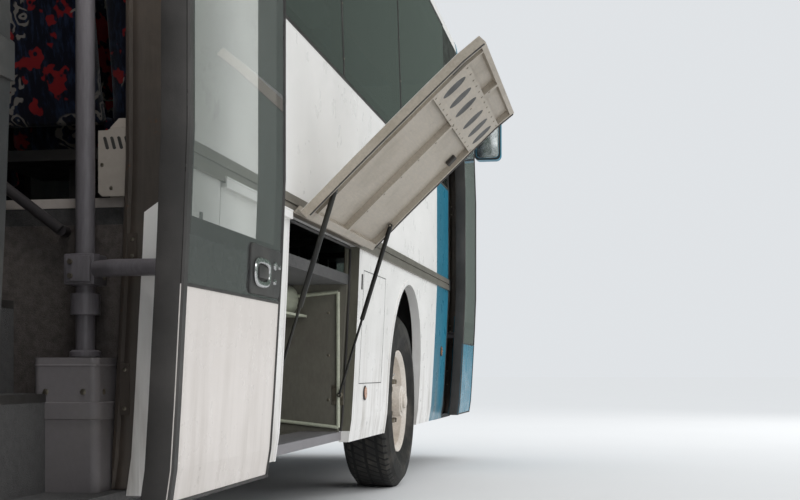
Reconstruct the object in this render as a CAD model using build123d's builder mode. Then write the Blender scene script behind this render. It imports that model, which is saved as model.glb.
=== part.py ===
"""Coach bus: the whole vehicle as separate pieces, in millimetres.

Modelled with X = 0 at the front axle, +X forward, +Y to the left and Z = 0 on
the ground, then every piece is moved by one shared offset to the row origin.
"""

from math import asin, atan2, cos, hypot, pi, radians, sin
import os

from build123d import *

os.makedirs("parts", exist_ok=True)

# Driving dimensions of the body
half_width = 1250
front_end = 2850
rear_end = -9150
wheelbase = 6150
front_mask_start = 2575
rear_mask_start = -8900
skirt_z = 350
waist_z = 1350
sill_z = 2070
cantrail_z = 3300
roof_z = 3610
wall = 50
roof_wall = 60
touch = 0.3

# How far the side leans inboard of the widest line: (height, inset)
side_lean = [(350, 58), (460, 42), (620, 32), (900, 17), (1040, 10), (1300, 0), (2070, 0), (3300, 40)]

# Roof corner points on one side: (height, inset), from cantrail to crown
roof_corner = [(3430, 62), (3565, 240)]
roof_corner_radius = 180

# Roof hatches: middle along X, length, width, corner and the groove around the lid
hatch_middles = (-1900, -6500)
hatch_long, hatch_wide, hatch_corner = 920, 700, 60
hatch_groove, hatch_groove_floor = 14, 3580

# Floors and the luggage bay
deck_top = 1180
deck_thick = 50
cab_floor_top = 900
step_top = 365
bay_floor_top = 400
bay_front = -1500
bay_rear = -4050
bulkhead = 40

# Wheels and tyres
axle_z = 520
tyre_radius = 522
tyre_width = 295
tyre_bulge, tyre_shoulder, tyre_facets = 400, 478, 60
rim_radius = 310
wheel_y = 1064
twin_pitch = 340
kingpin_y = 860
arch_radius = 560
arch_centre_z = 670
arch_lip, arch_lip_proud = 24, 6
house_wall = 20
house_top = 1245
front_house_half = 665
rear_house_half = 620
house_inner_y = 520
axle_slot = 115
axle_slot_top = 730

# Waist rail on the outside
rail_low = 1309
rail_high = 1392
rail_proud = 12
rail_groove_z = 1356
rail_groove = 8

# Doors: closed leaf edges along X and the shared leaf sizes
mid_door_rear = -5120
mid_door_front = -4200
front_door_rear = 1790
front_door_front = 2570
door_top = 2700
leaf_gap = 10
leaf_thick = 66
leaf_bevel = 30
jamb_bevel = 24
leaf_bottom = 372
leaf_glass_z = 915
leaf_frame = 62
pane = 8

# Door arm: column inboard of the side, pivot in the leaf, travel closed to open
column_inboard = 244
column_from_jamb = 9
column_dia = 55
pivot_inboard_of_leaf = 42
travel_out = 235
travel_forward = 435
front_door_out = 115
arm_dia = 48
arm_heights = [990, 2360]

# Luggage flaps
flap_a_rear = -2840
flap_a_front = -1500
flap_b_rear = -3720
flap_b_front = -2860
flap_bottom = 352
flap_top = 1306
flap_gap = 5
flap_thick = 34
flap_lip = 22
flap_angle = 136.5
hinge_z = 1322
hinge_out = 17

# Struts of the open flap, in the YZ plane
strut_top_off = 46
strut_top_down = 167
strut_foot_in = 92
strut_foot_z = 585
strut_tube_dia = 22
strut_rod_dia = 12
strut_tube_length = 480
strut_inset = 62

# Side windows: pane joints along X, right side front to rear with the door gap
window_joints = [1740, -270, -1860, -3450, mid_door_front + 60]
rear_window_joints = [mid_door_rear - 60, -6550, -8120, rear_mask_start + 30]
left_window_joints = [1100, -270, -1860, -3450, -5000, -6550, -8120, rear_mask_start + 30]
driver_window = (2480, 1180)
glass_low = 2076
glass_high = 3294
glass_joint = 8
pillar = 50

# Seats
seat_pitch = 780
seat_width = 900
seat_wall_gap = 20
seat_height = 450
seat_back_top = 1130
right_seats_x = [600 - i * seat_pitch for i in range(6)] + [-5750 - i * seat_pitch for i in range(4)]
left_seats_x = [380 - i * seat_pitch for i in range(12)]

# Luggage racks, engine, tank
rack_low = 2880
rack_depth = 420
engine_box = (-8850, -7450, 520)
tank_box = (-1430, -700, 460, 1020)
tank_corner = 70

# Row origin: middle of the box that the open coach fills
row_origin = Location((3025, 200, 0))


def lean(z):
    """Inset of the outer skin at a height, from the table of the side."""
    for (z0, i0), (z1, i1) in zip(side_lean, side_lean[1:]):
        if z0 <= z <= z1:
            return i0 + (i1 - i0) * (z - z0) / (z1 - z0)
    return side_lean[0][1] if z < side_lean[0][0] else side_lean[-1][1]


def wall_outline(side, z0, z1, out, thick):
    """Points of a strip of side wall: side is -1 right or +1 left."""
    heights = [z0] + [z for z, _ in side_lean if z0 < z < z1] + [z1]
    skin = [(side * (half_width - lean(z) - out), z) for z in heights]
    back = [(y - side * thick, z) for y, z in reversed(skin)]
    return skin + back


def body_outline(inset):
    """Points of the whole body section: up one side, over the roof, down the other."""
    side = [(half_width - lean(z) - inset, max(z, skirt_z)) for z, _ in side_lean]
    crown = [(half_width - i - inset, z - inset) for z, i in roof_corner]
    left = side + crown
    return [(-y, z) for y, z in left] + [(0, roof_z - inset)] + list(reversed(left))


def bar(x0, x1, y0, y1, z0, z1, mode=Mode.ADD):
    """A block between two corners."""
    with Locations(((x0 + x1) / 2, (y0 + y1) / 2, (z0 + z1) / 2)):
        Box(abs(x1 - x0), abs(y1 - y0), abs(z1 - z0), mode=mode)


def prism(plane, points, length, mode=Mode.ADD):
    """A closed outline on a plane, extruded along the plane's normal."""
    with BuildSketch(plane) as outline:
        with BuildLine():
            Polyline(*points, close=True)
        make_face()
    extrude(outline.sketch, amount=length, mode=mode)


def along_x(points, x0, x1, mode=Mode.ADD):
    """A YZ outline extruded from x0 to x1."""
    prism(Plane.YZ.offset(x0), points, x1 - x0, mode)


def rod(a, b, dia, mode=Mode.ADD):
    """A round bar between two points."""
    run = Vector(*b) - Vector(*a)
    with BuildSketch(Plane(origin=a, z_dir=run)) as end:
        Circle(dia / 2)
    extrude(end.sketch, amount=run.length, mode=mode)


def disc(x, y0, y1, z, dia, mode=Mode.ADD):
    """A round bar across the coach."""
    rod((x, y0, z), (x, y1, z), dia, mode)


def tube_path(points, bends, dia):
    """A round tube along straight runs joined by tangent arcs."""
    with BuildLine() as route:
        FilletPolyline(*points, radius=bends)
    with BuildSketch(Plane(origin=points[0], z_dir=Vector(*points[1]) - Vector(*points[0]))) as end:
        Circle(dia / 2)
    sweep(end.sketch, path=route.line)


def across(side, depth):
    """A Y value on one side, measured inboard from the widest line."""
    return side * (half_width - depth)


def side_view_plane(y):
    """A side-view plane at one Y, drawn in X and Z, with its normal to the right."""
    return Plane(origin=(0, y, 0), x_dir=(1, 0, 0), z_dir=(0, -1, 0))


rear_axle_x = -wheelbase
axles_x = (0, rear_axle_x)
house_halves = (front_house_half, rear_house_half)
sides = {"right": -1, "left": 1}
flaps = {"a": (flap_a_rear, flap_a_front), "b": (flap_b_rear, flap_b_front)}
doors = {"mid": (mid_door_rear, mid_door_front), "front": (front_door_rear, front_door_front)}


def sinr(angle):
    """Sine of degrees."""
    return sin(radians(angle))


def cosr(angle):
    """Cosine of degrees."""
    return cos(radians(angle))


def tanr(angle):
    """Tangent of degrees."""
    return sinr(angle) / cosr(angle)


def arch_lips(side):
    """The raised lips around the two wheel arches of one side."""
    with BuildPart() as lips:
        for x in axles_x:
            reach = arch_radius + arch_lip
            along_x(wall_outline(side, skirt_z, waist_z - 60, -arch_lip_proud, wall), x - reach, x + reach)
        with BuildSketch(side_view_plane(half_width + 10)) as rings:
            with Locations(*((x, arch_centre_z) for x in axles_x)):
                Circle(arch_radius + arch_lip)
            with Locations(*((x, arch_centre_z / 2) for x in axles_x)):
                Rectangle(2 * (arch_radius + arch_lip), arch_centre_z)
        extrude(rings.sketch, amount=2 * half_width + 20, mode=Mode.INTERSECT)
    return lips.part


# Body sides below the waist, with wheel arches, flap and door openings
for side_name, side in sides.items():
    with BuildPart() as lower_side:
        along_x(wall_outline(side, skirt_z, waist_z, 0, wall), rear_mask_start, front_mask_start)
        add(arch_lips(side))
        for x in axles_x:
            disc(x, across(side, -10), across(side, 160), arch_centre_z, 2 * arch_radius, Mode.SUBTRACT)
            bar(x - arch_radius, x + arch_radius, across(side, -10), across(side, 160),
                skirt_z - 10, arch_centre_z, Mode.SUBTRACT)
        for x0, x1 in flaps.values():
            bar(x0, x1, across(side, -10), across(side, 160), skirt_z - 10, hinge_z, Mode.SUBTRACT)
        if side_name == "right":
            for x0, x1 in doors.values():
                door_void = [(x0, across(side, -10)), (x1, across(side, -10)), (x1, across(side, 2)),
                             (x1 - jamb_bevel, across(side, 70)), (x1 - jamb_bevel, across(side, 160)),
                             (x0, across(side, 160))]
                prism(Plane.XY.offset(skirt_z - 10), door_void, waist_z - skirt_z + 20, Mode.SUBTRACT)
    lower_side.part.label = f"lower_side_{side_name}"
    export_step(lower_side.part.moved(row_origin), f"parts/lower_side_{side_name}.step")

# Body sides above the waist: rebated outside for the panes, cut for each window
bays = {
    "right": [p for row in (window_joints, rear_window_joints) for p in zip(row, row[1:])],
    "left": list(zip(left_window_joints, left_window_joints[1:])) + [driver_window],
}
for side_name, side in sides.items():
    with BuildPart() as upper_side:
        along_x(wall_outline(side, waist_z, cantrail_z, 0, wall), rear_mask_start, front_mask_start)
        for x1, x0 in bays[side_name]:
            along_x(wall_outline(side, sill_z, cantrail_z - touch, -20, pane + 20), x0, x1, Mode.SUBTRACT)
            bar(x0 + pillar, x1 - pillar, across(side, -10), across(side, 160),
                sill_z + pillar, cantrail_z - pillar, Mode.SUBTRACT)
        if side_name == "right":
            for x0, x1 in doors.values():
                door_void = [(x0, across(side, -10)), (x1, across(side, -10)), (x1, across(side, 2)),
                             (x1 - jamb_bevel, across(side, 110)), (x0, across(side, 110))]
                prism(Plane.XY.offset(waist_z - 10), door_void, door_top - waist_z + 10, Mode.SUBTRACT)
                for joint in (x0, x1 - jamb_bevel):
                    bar(joint - touch, joint, across(side, -10), across(side, 110), door_top - 10, cantrail_z + 10,
                        Mode.SUBTRACT)
    upper_side.part.label = f"upper_side_{side_name}"
    export_step(upper_side.part.moved(row_origin), f"parts/upper_side_{side_name}.step")

# Side panes, one per bay, seated in the rebate
with BuildPart() as side_windows:
    for side_name, side in sides.items():
        for x1, x0 in bays[side_name]:
            along_x(wall_outline(side, glass_low, glass_high, 0, pane), x0 + glass_joint / 2, x1 - glass_joint / 2)
side_windows.part.label = "side_windows"
export_step(side_windows.part.moved(row_origin), "parts/side_windows.step")

# Waist rails: a smooth upper band, a groove and a lower band that carries the flap hinges
rail_outline = [(0, rail_low), (rail_proud, rail_low), (rail_proud, rail_groove_z - rail_groove),
                (rail_proud / 3, rail_groove_z - rail_groove), (rail_proud / 3, rail_groove_z),
                (rail_proud, rail_groove_z), (rail_proud, rail_high - 4), (rail_proud - 5, rail_high), (0, rail_high)]
rail_runs = {
    "right": [(rear_mask_start, mid_door_rear - 2), (mid_door_front, front_door_rear - 2)],
    "left": [(rear_mask_start, front_mask_start)],
}
with BuildPart() as waist_rails:
    for side_name, side in sides.items():
        for x0, x1 in rail_runs[side_name]:
            along_x([(side * (half_width + out), z) for out, z in rail_outline], x0, x1)
waist_rails.part.label = "waist_rails"
export_step(waist_rails.part.moved(row_origin), "parts/waist_rails.step")

# Roof shell
with BuildPart() as roof_shell:
    roof_run = front_mask_start - rear_mask_start
    for inset, mode in ((0, Mode.ADD), (roof_wall, Mode.SUBTRACT)):
        crown = [(half_width - i - inset, z - inset) for z, i in roof_corner]
        low = cantrail_z if inset == 0 else cantrail_z - 5
        half = [(half_width - side_lean[-1][1] - inset, low)] + crown
        outline = [(-y, z) for y, z in half] + [(0, roof_z - inset)] + list(reversed(half))
        with BuildSketch(Plane.YZ.offset(rear_mask_start)):
            with BuildLine():
                Polyline(*outline, close=True)
            make_face()
            fillet([v for v in vertices() if cantrail_z + 20 < v.Y < roof_z - inset - 20],
                   radius=roof_corner_radius - inset)
        extrude(amount=roof_run, mode=mode)
    with BuildSketch(Plane.XY.offset(hatch_groove_floor)) as hatch_grooves:
        with Locations(*((x, 0) for x in hatch_middles)):
            RectangleRounded(hatch_long, hatch_wide, hatch_corner)
            RectangleRounded(hatch_long - 2 * hatch_groove, hatch_wide - 2 * hatch_groove,
                             hatch_corner - hatch_groove, mode=Mode.SUBTRACT)
    extrude(hatch_grooves.sketch, amount=roof_z - hatch_groove_floor, mode=Mode.SUBTRACT)
roof_shell.part.label = "roof_shell"
export_step(roof_shell.part.moved(row_origin), "parts/roof_shell.step")

# Nose and tail: the body section trimmed by a side silhouette and a rounded plan
nose_silhouette = [(front_mask_start, skirt_z), (front_end - 60, skirt_z), (front_end, skirt_z + 90),
                   (front_end, 1180), (front_end - 18, 1320), (front_end - 130, 3050), (front_end - 185, 3400),
                   (front_mask_start, roof_z + 5)]
tail_silhouette = [(rear_mask_start, skirt_z), (rear_end + 50, skirt_z), (rear_end, skirt_z + 80),
                   (rear_end, 1750), (rear_end + 25, 2150), (rear_end + 90, 3150), (rear_mask_start, roof_z + 5)]


def body_end(silhouette, inset, corner):
    """One closed end of the body, set in by an inset."""
    xs = [x for x, _ in silhouette]
    out = 1 if xs[1] > xs[0] else -1
    tip = max(xs) if out > 0 else min(xs)
    with BuildPart() as end:
        with BuildSketch(Plane.YZ.offset(xs[0])):
            with BuildLine():
                Polyline(*body_outline(inset), close=True)
            make_face()
            fillet([v for v in vertices() if cantrail_z + 20 < v.Y < roof_z - inset - 20],
                   radius=roof_corner_radius - inset)
        extrude(amount=out * (abs(tip - xs[0]) + 5))
        shape = [(xs[0] - out * inset * 2, silhouette[0][1] - inset)]
        shape += [(x - out * inset, z) for x, z in silhouette[1:-1]]
        shape += [(xs[0] - out * inset * 2, roof_z + 5)]
        with BuildSketch(Plane.XZ.offset(-2 * half_width)) as side_view:
            with BuildLine():
                Polyline(*shape, close=True)
            make_face()
            fillet([v for v in vertices() if v.Y > 500 and abs(v.X - xs[0]) > 3 * inset + 20], radius=60)
        extrude(side_view.sketch, amount=4 * half_width, mode=Mode.INTERSECT)
        with BuildSketch(Plane.XY) as plan:
            with Locations((xs[0] + out * (abs(tip - xs[0]) - 800) / 2 - out * inset / 2, 0)):
                RectangleRounded(abs(tip - xs[0]) + 800 - inset, 2 * (half_width - inset), corner)
        extrude(plan.sketch, amount=roof_z + 100, mode=Mode.INTERSECT)
    return end.part


nose_corner, tail_corner = 240, 130
nose_outer = body_end(nose_silhouette, 0, nose_corner)
nose_inner = body_end(nose_silhouette, wall, nose_corner - wall)
nose_pane = body_end(nose_silhouette, pane, nose_corner - pane)
tail_outer = body_end(tail_silhouette, 0, tail_corner)
tail_inner = body_end(tail_silhouette, wall, tail_corner - wall)
tail_pane = body_end(tail_silhouette, pane, tail_corner - pane)

screen_low, screen_high, screen_half = 1240, 3080, 1130
rear_glass_low, rear_glass_high, rear_glass_half = 2130, 3060, 1040
front_bumper_top = 690
rear_bumper_top = 620
lamp_deep = 70
tow_y, tow_z, tow_reach, tow_eye, tow_thick, tow_bore = -420, 480, 70, 42, 30, 42
front_lamps = [(side * 960, 790, 300, 170) for side in (-1, 1)]
grille_z, grille_slots, grille_pitch, grille_slot = 790, 4, 38, (1280, 16)
rear_lamps = [(side * 1080, 1050 + step * 190, 150, 160) for side in (-1, 1) for step in range(3)]
engine_lid_low, engine_lid_high, engine_lid_half = 680, 1640, 860
lid_gap = 6

with BuildPart() as front_mask:
    add(nose_outer)
    add(nose_inner, mode=Mode.SUBTRACT)
    bar(0, front_end + 9, -1300, 1300, 0, front_bumper_top, Mode.SUBTRACT)
    bar(front_mask_start + 80, front_end + 9, -screen_half, screen_half, screen_low, screen_high, Mode.SUBTRACT)
    for y, z, wide, high in front_lamps:
        bar(front_end - lamp_deep - 60, front_end + 9, y - wide / 2, y + wide / 2, z - high / 2, z + high / 2,
            Mode.SUBTRACT)
    with BuildSketch(Plane.YZ.offset(front_end - wall - 9)) as grille:
        with Locations((0, grille_z)):
            with GridLocations(0, grille_pitch, 1, grille_slots):
                SlotOverall(*grille_slot)
    extrude(grille.sketch, amount=wall + 18, mode=Mode.SUBTRACT)
front_mask.part.label = "front_mask"
export_step(front_mask.part.moved(row_origin), "parts/front_mask.step")

with BuildPart() as front_bumper:
    add(nose_outer)
    add(nose_inner, mode=Mode.SUBTRACT)
    bar(0, front_end + 9, -1300, 1300, front_bumper_top - touch, roof_z + 9, Mode.SUBTRACT)
    bar(front_end - wall - 30, front_end + tow_reach, tow_y - tow_eye, tow_y + tow_eye, tow_z - tow_thick / 2,
        tow_z + tow_thick / 2)
    rod((front_end + tow_reach - tow_eye, tow_y, tow_z - tow_thick), (front_end + tow_reach - tow_eye, tow_y,
        tow_z + tow_thick), tow_bore, Mode.SUBTRACT)
front_bumper.part.label = "front_bumper"
export_step(front_bumper.part.moved(row_origin), "parts/front_bumper.step")

with BuildPart() as windscreen:
    add(nose_outer)
    add(nose_pane, mode=Mode.SUBTRACT)
    bar(0, front_end + 9, -1300, 1300, 0, screen_low + touch, Mode.SUBTRACT)
    bar(0, front_end + 9, -1300, 1300, screen_high - touch, roof_z + 9, Mode.SUBTRACT)
    for side in (-1, 1):
        bar(0, front_end + 9, side * (screen_half - touch), side * 1300, 0, roof_z, Mode.SUBTRACT)
    bar(0, front_mask_start + 81, -1300, 1300, 0, roof_z, Mode.SUBTRACT)
windscreen.part.label = "windscreen"
export_step(windscreen.part.moved(row_origin), "parts/windscreen.step")



def behind_faces(shell, faces, x0, x1):
    """The part of a shell behind upright rectangles, each given as Y, Z, width and height."""
    with BuildPart() as blocks:
        add(shell)
        with BuildSketch(Plane.YZ.offset(x0)) as outlines:
            for y, z, wide, high in faces:
                with Locations((y, z)):
                    Rectangle(wide - 2 * touch, high - 2 * touch)
        extrude(outlines.sketch, amount=x1 - x0, mode=Mode.INTERSECT)
    return blocks.part


rear_lamp_x = rear_end + lamp_deep + 20
with BuildPart() as lamps:
    add(behind_faces(nose_outer, front_lamps, front_end - lamp_deep - 20, front_end + 9))
    add(behind_faces(tail_outer, rear_lamps, rear_end - 9, rear_lamp_x))
lamps.part.label = "lamps"
export_step(lamps.part.moved(row_origin), "parts/lamps.step")

with BuildPart() as rear_mask:
    add(tail_outer)
    add(tail_inner, mode=Mode.SUBTRACT)
    bar(rear_end - 9, 0, -1300, 1300, 0, rear_bumper_top, Mode.SUBTRACT)
    bar(rear_end - 9, rear_mask_start - 60, -rear_glass_half, rear_glass_half, rear_glass_low, rear_glass_high,
        Mode.SUBTRACT)
    bar(rear_end - 9, rear_mask_start - 60, -engine_lid_half, engine_lid_half, engine_lid_low, engine_lid_high,
        Mode.SUBTRACT)
    for y, z, wide, high in rear_lamps:
        bar(rear_end - 9, rear_lamp_x + 60, y - wide / 2, y + wide / 2, z - high / 2, z + high / 2, Mode.SUBTRACT)
rear_mask.part.label = "rear_mask"
export_step(rear_mask.part.moved(row_origin), "parts/rear_mask.step")

with BuildPart() as rear_bumper:
    add(tail_outer)
    add(tail_inner, mode=Mode.SUBTRACT)
    bar(rear_end - 9, 0, -1300, 1300, rear_bumper_top - touch, roof_z + 9, Mode.SUBTRACT)
rear_bumper.part.label = "rear_bumper"
export_step(rear_bumper.part.moved(row_origin), "parts/rear_bumper.step")

with BuildPart() as rear_glass:
    add(tail_outer)
    add(tail_pane, mode=Mode.SUBTRACT)
    with BuildSketch(Plane.YZ.offset(rear_end - 9)) as rear_pane_face:
        with Locations((0, (rear_glass_low + rear_glass_high) / 2)):
            Rectangle(2 * (rear_glass_half - touch), rear_glass_high - rear_glass_low - 2 * touch)
    extrude(rear_pane_face.sketch, amount=rear_mask_start - rear_end - 61, mode=Mode.INTERSECT)
rear_glass.part.label = "rear_glass"
export_step(rear_glass.part.moved(row_origin), "parts/rear_glass.step")

# Engine lid in the tail, hinged along its top edge
with BuildPart() as engine_lid:
    add(tail_outer)
    add(tail_inner, mode=Mode.SUBTRACT)
    with BuildSketch(Plane.YZ.offset(rear_end - 9)) as lid_face:
        with Locations((0, (engine_lid_low + engine_lid_high) / 2)):
            RectangleRounded(2 * (engine_lid_half - lid_gap), engine_lid_high - engine_lid_low - 2 * lid_gap, 20)
        with Locations((0, engine_lid_low + 210)):
            with GridLocations(0, 46, 1, 6):
                SlotOverall(1300, 22, mode=Mode.SUBTRACT)
    extrude(lid_face.sketch, amount=rear_mask_start - rear_end - 61, mode=Mode.INTERSECT)
    for y in (-500, 500):
        lid_edge = engine_lid_high - lid_gap
        rod((rear_end, y - 60, lid_edge), (rear_end, y + 60, lid_edge), 2 * (lid_gap - touch))
engine_lid.part.label = "engine_lid"
export_step(engine_lid.part.moved(row_origin), "parts/engine_lid.step")

# Passenger floor, cab floor and the steps at both doors
mid_well = (mid_door_rear - 30, mid_door_front + 96)
front_well = (front_door_rear - 20, front_door_front + 120)
well_inner = 520
tread = 200
riser_thick = 30
cab_front = 2500
cover_top = 739
cover_wide, cover_deep, cover_corner, cover_aft, cover_shift = 200, 192, 22, 20, 8
column_y = across(-1, column_inboard)
cab_start = 1150
deck_low = deck_top - deck_thick


def wall_to_wall(z0, z1):
    """Outline of a floor that fits between the inner faces of the sides."""
    low, high = (half_width - lean(z) - wall - touch for z in (z0, z1))
    return [(-low, z0), (low, z0), (high, z1), (-high, z1)]


with BuildPart() as floor_deck:
    along_x(wall_to_wall(deck_low, deck_top), rear_mask_start + 20, cab_start)
    along_x(wall_to_wall(cab_floor_top - deck_thick, deck_low), cab_start - deck_thick, cab_start)
    along_x(wall_to_wall(cab_floor_top - deck_thick, cab_floor_top), cab_start, cab_front)
    bar(mid_well[0], mid_well[1], across(-1, 0), -well_inner, deck_low - 9, deck_top + 9, Mode.SUBTRACT)
    bar(front_well[0], cab_front + 9, across(-1, 0), -well_inner, 500, deck_top + 9, Mode.SUBTRACT)
    for x in axles_x:
        half = front_house_half if x == 0 else rear_house_half
        for side in (-1, 1):
            bar(x - half, x + half, across(side, 0), side * house_inner_y, deck_low - 9, deck_top + 9, Mode.SUBTRACT)
    for x0, x1, top, steps in ((*mid_well, deck_top, 3), (*front_well, cab_floor_top, 2)):
        rise = (top - step_top) / steps
        y_first = across(-1, lean(skirt_z) + wall + touch)
        for i in range(steps):
            y0 = y_first + i * tread
            z = step_top + i * rise
            bar(x0, x1, y0, y0 + tread + riser_thick, z - riser_thick, z)
            bar(x0, x1, y0 + tread, y0 + tread + riser_thick, z - riser_thick, z + rise)
        bar(x0, min(x1, cab_front), y_first + steps * tread, -well_inner, top - deck_thick, top)
    for _, x1 in doors.values():
        column_x = x1 + column_from_jamb
        bar(column_x - cover_aft - cover_wide / 2 - 2, column_x - cover_aft + cover_wide / 2 + 2,
            column_y + cover_shift - cover_deep / 2 - 2, column_y + cover_shift + cover_deep / 2 + 2, step_top,
            deck_top + 9, Mode.SUBTRACT)
floor_deck.part.label = "floor_deck"
export_step(floor_deck.part.moved(row_origin), "parts/floor_deck.step")

# Wheelhouses: hollow boxes with a rounded top, open below and outwards
with BuildPart() as wheelhouses:
    for x in axles_x:
        half = front_house_half if x == 0 else rear_house_half
        for side in (-1, 1):
            y0, y1 = side * house_inner_y, across(side, wall)
            bar(x - half + touch, x + half - touch, y0, y1, skirt_z + 60, house_top)
            bar(x - half + house_wall, x + half - house_wall, y0 + side * house_wall, across(side, -9), 0,
                house_top - house_wall, Mode.SUBTRACT)
            along_x(wall_outline(side, skirt_z, waist_z, -20, wall + 20 + touch), x - half, x + half, Mode.SUBTRACT)
            bar(x - axle_slot, x + axle_slot, side * (house_inner_y - 9), side * (house_inner_y + house_wall + 9),
                skirt_z, axle_slot_top, Mode.SUBTRACT)
wheelhouses.part.label = "wheelhouses"
export_step(wheelhouses.part.moved(row_origin), "parts/wheelhouses.step")

# Luggage bay: floor tray, two end walls, a jamb post between the flaps, and the duct
foot_pin_dia = 10.4
with BuildPart() as luggage_bay:
    along_x(wall_to_wall(bay_floor_top - bulkhead, bay_floor_top), bay_rear, bay_front)
    for x0 in (bay_front - bulkhead, bay_rear):
        along_x(wall_to_wall(bay_floor_top - bulkhead, deck_low - touch), x0, x0 + bulkhead)
    for side in (-1, 1):
        post = [(y, z) for y, z in wall_outline(side, bay_floor_top, deck_low - touch, wall + touch, 60)]
        along_x(post, flap_b_front - 20, flap_a_rear + 40)
    for x, inward in ((flap_a_rear, 1), (flap_a_front, -1)):
        rod((x + inward * 30, across(-1, strut_foot_in), strut_foot_z),
            (x + inward * (strut_inset + 12), across(-1, strut_foot_in), strut_foot_z), foot_pin_dia)
luggage_bay.part.label = "luggage_bay"
export_step(luggage_bay.part.moved(row_origin), "parts/luggage_bay.step")

duct_size, duct_corner = (230, 150), 60
with BuildPart() as bay_duct:
    with BuildSketch(Plane.YZ.offset(bay_rear + bulkhead + touch)) as duct_face:
        with Locations((across(-1, 420), deck_low - duct_size[1] / 2 - touch)):
            RectangleRounded(*duct_size, duct_corner)
        with Locations((across(-1, 420), deck_low - duct_size[1] - 6)):
            Rectangle(duct_size[0] + 90, 12)
    extrude(duct_face.sketch, amount=bay_front - bay_rear - 2 * bulkhead - 2 * touch)
bay_duct.part.label = "bay_duct"
export_step(bay_duct.part.moved(row_origin), "parts/bay_duct.step")

# Chassis: two upper and two lower rails joined by posts and cross members
rail_y, rail_wide, rail_high_size = 400, 80, 150
upper_rail_top = deck_low - touch
lower_rail_top = bay_floor_top - bulkhead - touch
lower_rail_depth = 90
frame_front, frame_rear = 2480, -8880
bay_frame = (-4260, -1320)
with BuildPart() as chassis_frame:
    for side in (-1, 1):
        y0, y1 = side * (rail_y - rail_wide / 2), side * (rail_y + rail_wide / 2)
        for x0, x1 in ((bay_front + touch, cab_start - deck_thick - touch), (frame_rear, bay_rear - touch)):
            bar(x0, x1, y0, y1, upper_rail_top - rail_high_size, upper_rail_top)
        bar(cab_start - 140, frame_front, y0, y1, cab_floor_top - deck_thick - touch - rail_high_size,
            cab_floor_top - deck_thick - touch)
        bar(cab_start - 240, cab_start - 80, y0, y1, cab_floor_top - deck_thick - touch - rail_high_size,
            upper_rail_top - rail_high_size)
        bar(*bay_frame, y0, y1, lower_rail_top - lower_rail_depth, lower_rail_top)
        for x in (bay_frame[0] + 60, bay_frame[1] - 60):
            bar(x - 60, x + 60, y0, y1, lower_rail_top - lower_rail_depth, upper_rail_top)
    for x in (1900, 700, -700, bay_frame[1] - 60, -2200, -2850, -3500, bay_frame[0] + 60, -5300, -7200, -8700):
        low = x < bay_frame[1] - 100 and x > bay_frame[0] + 100
        front = x > cab_start
        top = lower_rail_top - 10 if low else (cab_floor_top - 110 if front else upper_rail_top - 20)
        bar(x - 40, x + 40, -rail_y, rail_y, top - 70, top)
    for x in (1500, bay_frame[1] - 60, -8700, -5300):
        reach = 1130
        top = cab_floor_top - deck_thick - touch if x > 0 else upper_rail_top
        bar(x - 30, x + 30, -reach, reach, top - 80, top)
chassis_frame.part.label = "chassis_frame"
export_step(chassis_frame.part.moved(row_origin), "parts/chassis_frame.step")

# Axles with their air springs
beam_wide, beam_high = 110, 90
boss_dia, boss_high, pin_dia = 100, 130, 44
spring_dia, spring_y = 230, 400
with BuildPart() as front_axle:
    bar(-beam_wide / 2, beam_wide / 2, -kingpin_y, kingpin_y, axle_z - beam_high / 2, axle_z + beam_high / 2)
    for side in (-1, 1):
        rod((0, side * kingpin_y, axle_z - boss_high / 2), (0, side * kingpin_y, axle_z + boss_high / 2), boss_dia)
        rod((0, side * kingpin_y, axle_z - boss_high / 2 - 42), (0, side * kingpin_y, axle_z + boss_high / 2 + 42),
            pin_dia)
        for x in (-250, 250):
            rod((x, side * spring_y, axle_z + 40), (x, side * spring_y, upper_rail_top - rail_high_size), spring_dia)
        bar(-340, 340, side * (spring_y - 50), side * (spring_y + 50), axle_z - 40, axle_z + 40)
front_axle.part.label = "front_axle"
export_step(front_axle.part.moved(row_origin), "parts/front_axle.step")

tube_dia, bowl_dia, stub_dia, stub_end = 170, 430, 110, 1110
with BuildPart() as rear_axle:
    disc(rear_axle_x, -560, 560, axle_z, tube_dia)
    disc(rear_axle_x, -stub_end, stub_end, axle_z, stub_dia)
    with Locations((rear_axle_x, 0, axle_z)):
        Sphere(bowl_dia / 2)
    rod((rear_axle_x, 0, axle_z), (rear_axle_x - 330, 0, axle_z), 190)
    for side in (-1, 1):
        for x in (-300, 300):
            rod((rear_axle_x + x, side * spring_y, axle_z + 40),
                (rear_axle_x + x, side * spring_y, upper_rail_top - rail_high_size), spring_dia)
        bar(rear_axle_x - 390, rear_axle_x + 390, side * (spring_y - 50), side * (spring_y + 50), axle_z - 50,
            axle_z + 50)
rear_axle.part.label = "rear_axle"
export_step(rear_axle.part.moved(row_origin), "parts/rear_axle.step")

# Steering knuckles: a fork on the kingpin, a plate and the wheel spindle
fork_high, fork_clear = 38, 0.5
spindle_dia, plate_thick = 80, 40
for side_name, side in sides.items():
    with BuildPart() as knuckle:
        for step in (-1, 1):
            z0 = axle_z + step * (boss_high / 2 + fork_clear)
            rod((0, side * kingpin_y, z0), (0, side * kingpin_y, z0 + step * fork_high), boss_dia)
            bar(-boss_dia / 2, boss_dia / 2, side * kingpin_y, side * (kingpin_y + 62 + plate_thick), z0,
                z0 + step * fork_high)
            rod((0, side * kingpin_y, axle_z), (0, side * kingpin_y, z0 + step * 60), pin_dia + 1, Mode.SUBTRACT)
        bar(-80, 80, side * (kingpin_y + 62), side * (kingpin_y + 62 + plate_thick),
            axle_z - boss_high / 2 - fork_high, axle_z + boss_high / 2 + fork_high)
        disc(0, side * (kingpin_y + 62), side * (wheel_y + 60), axle_z, spindle_dia)
    knuckle.part.label = f"knuckle_{side_name}"
    export_step(knuckle.part.moved(row_origin), f"parts/knuckle_{side_name}.step")

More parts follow.
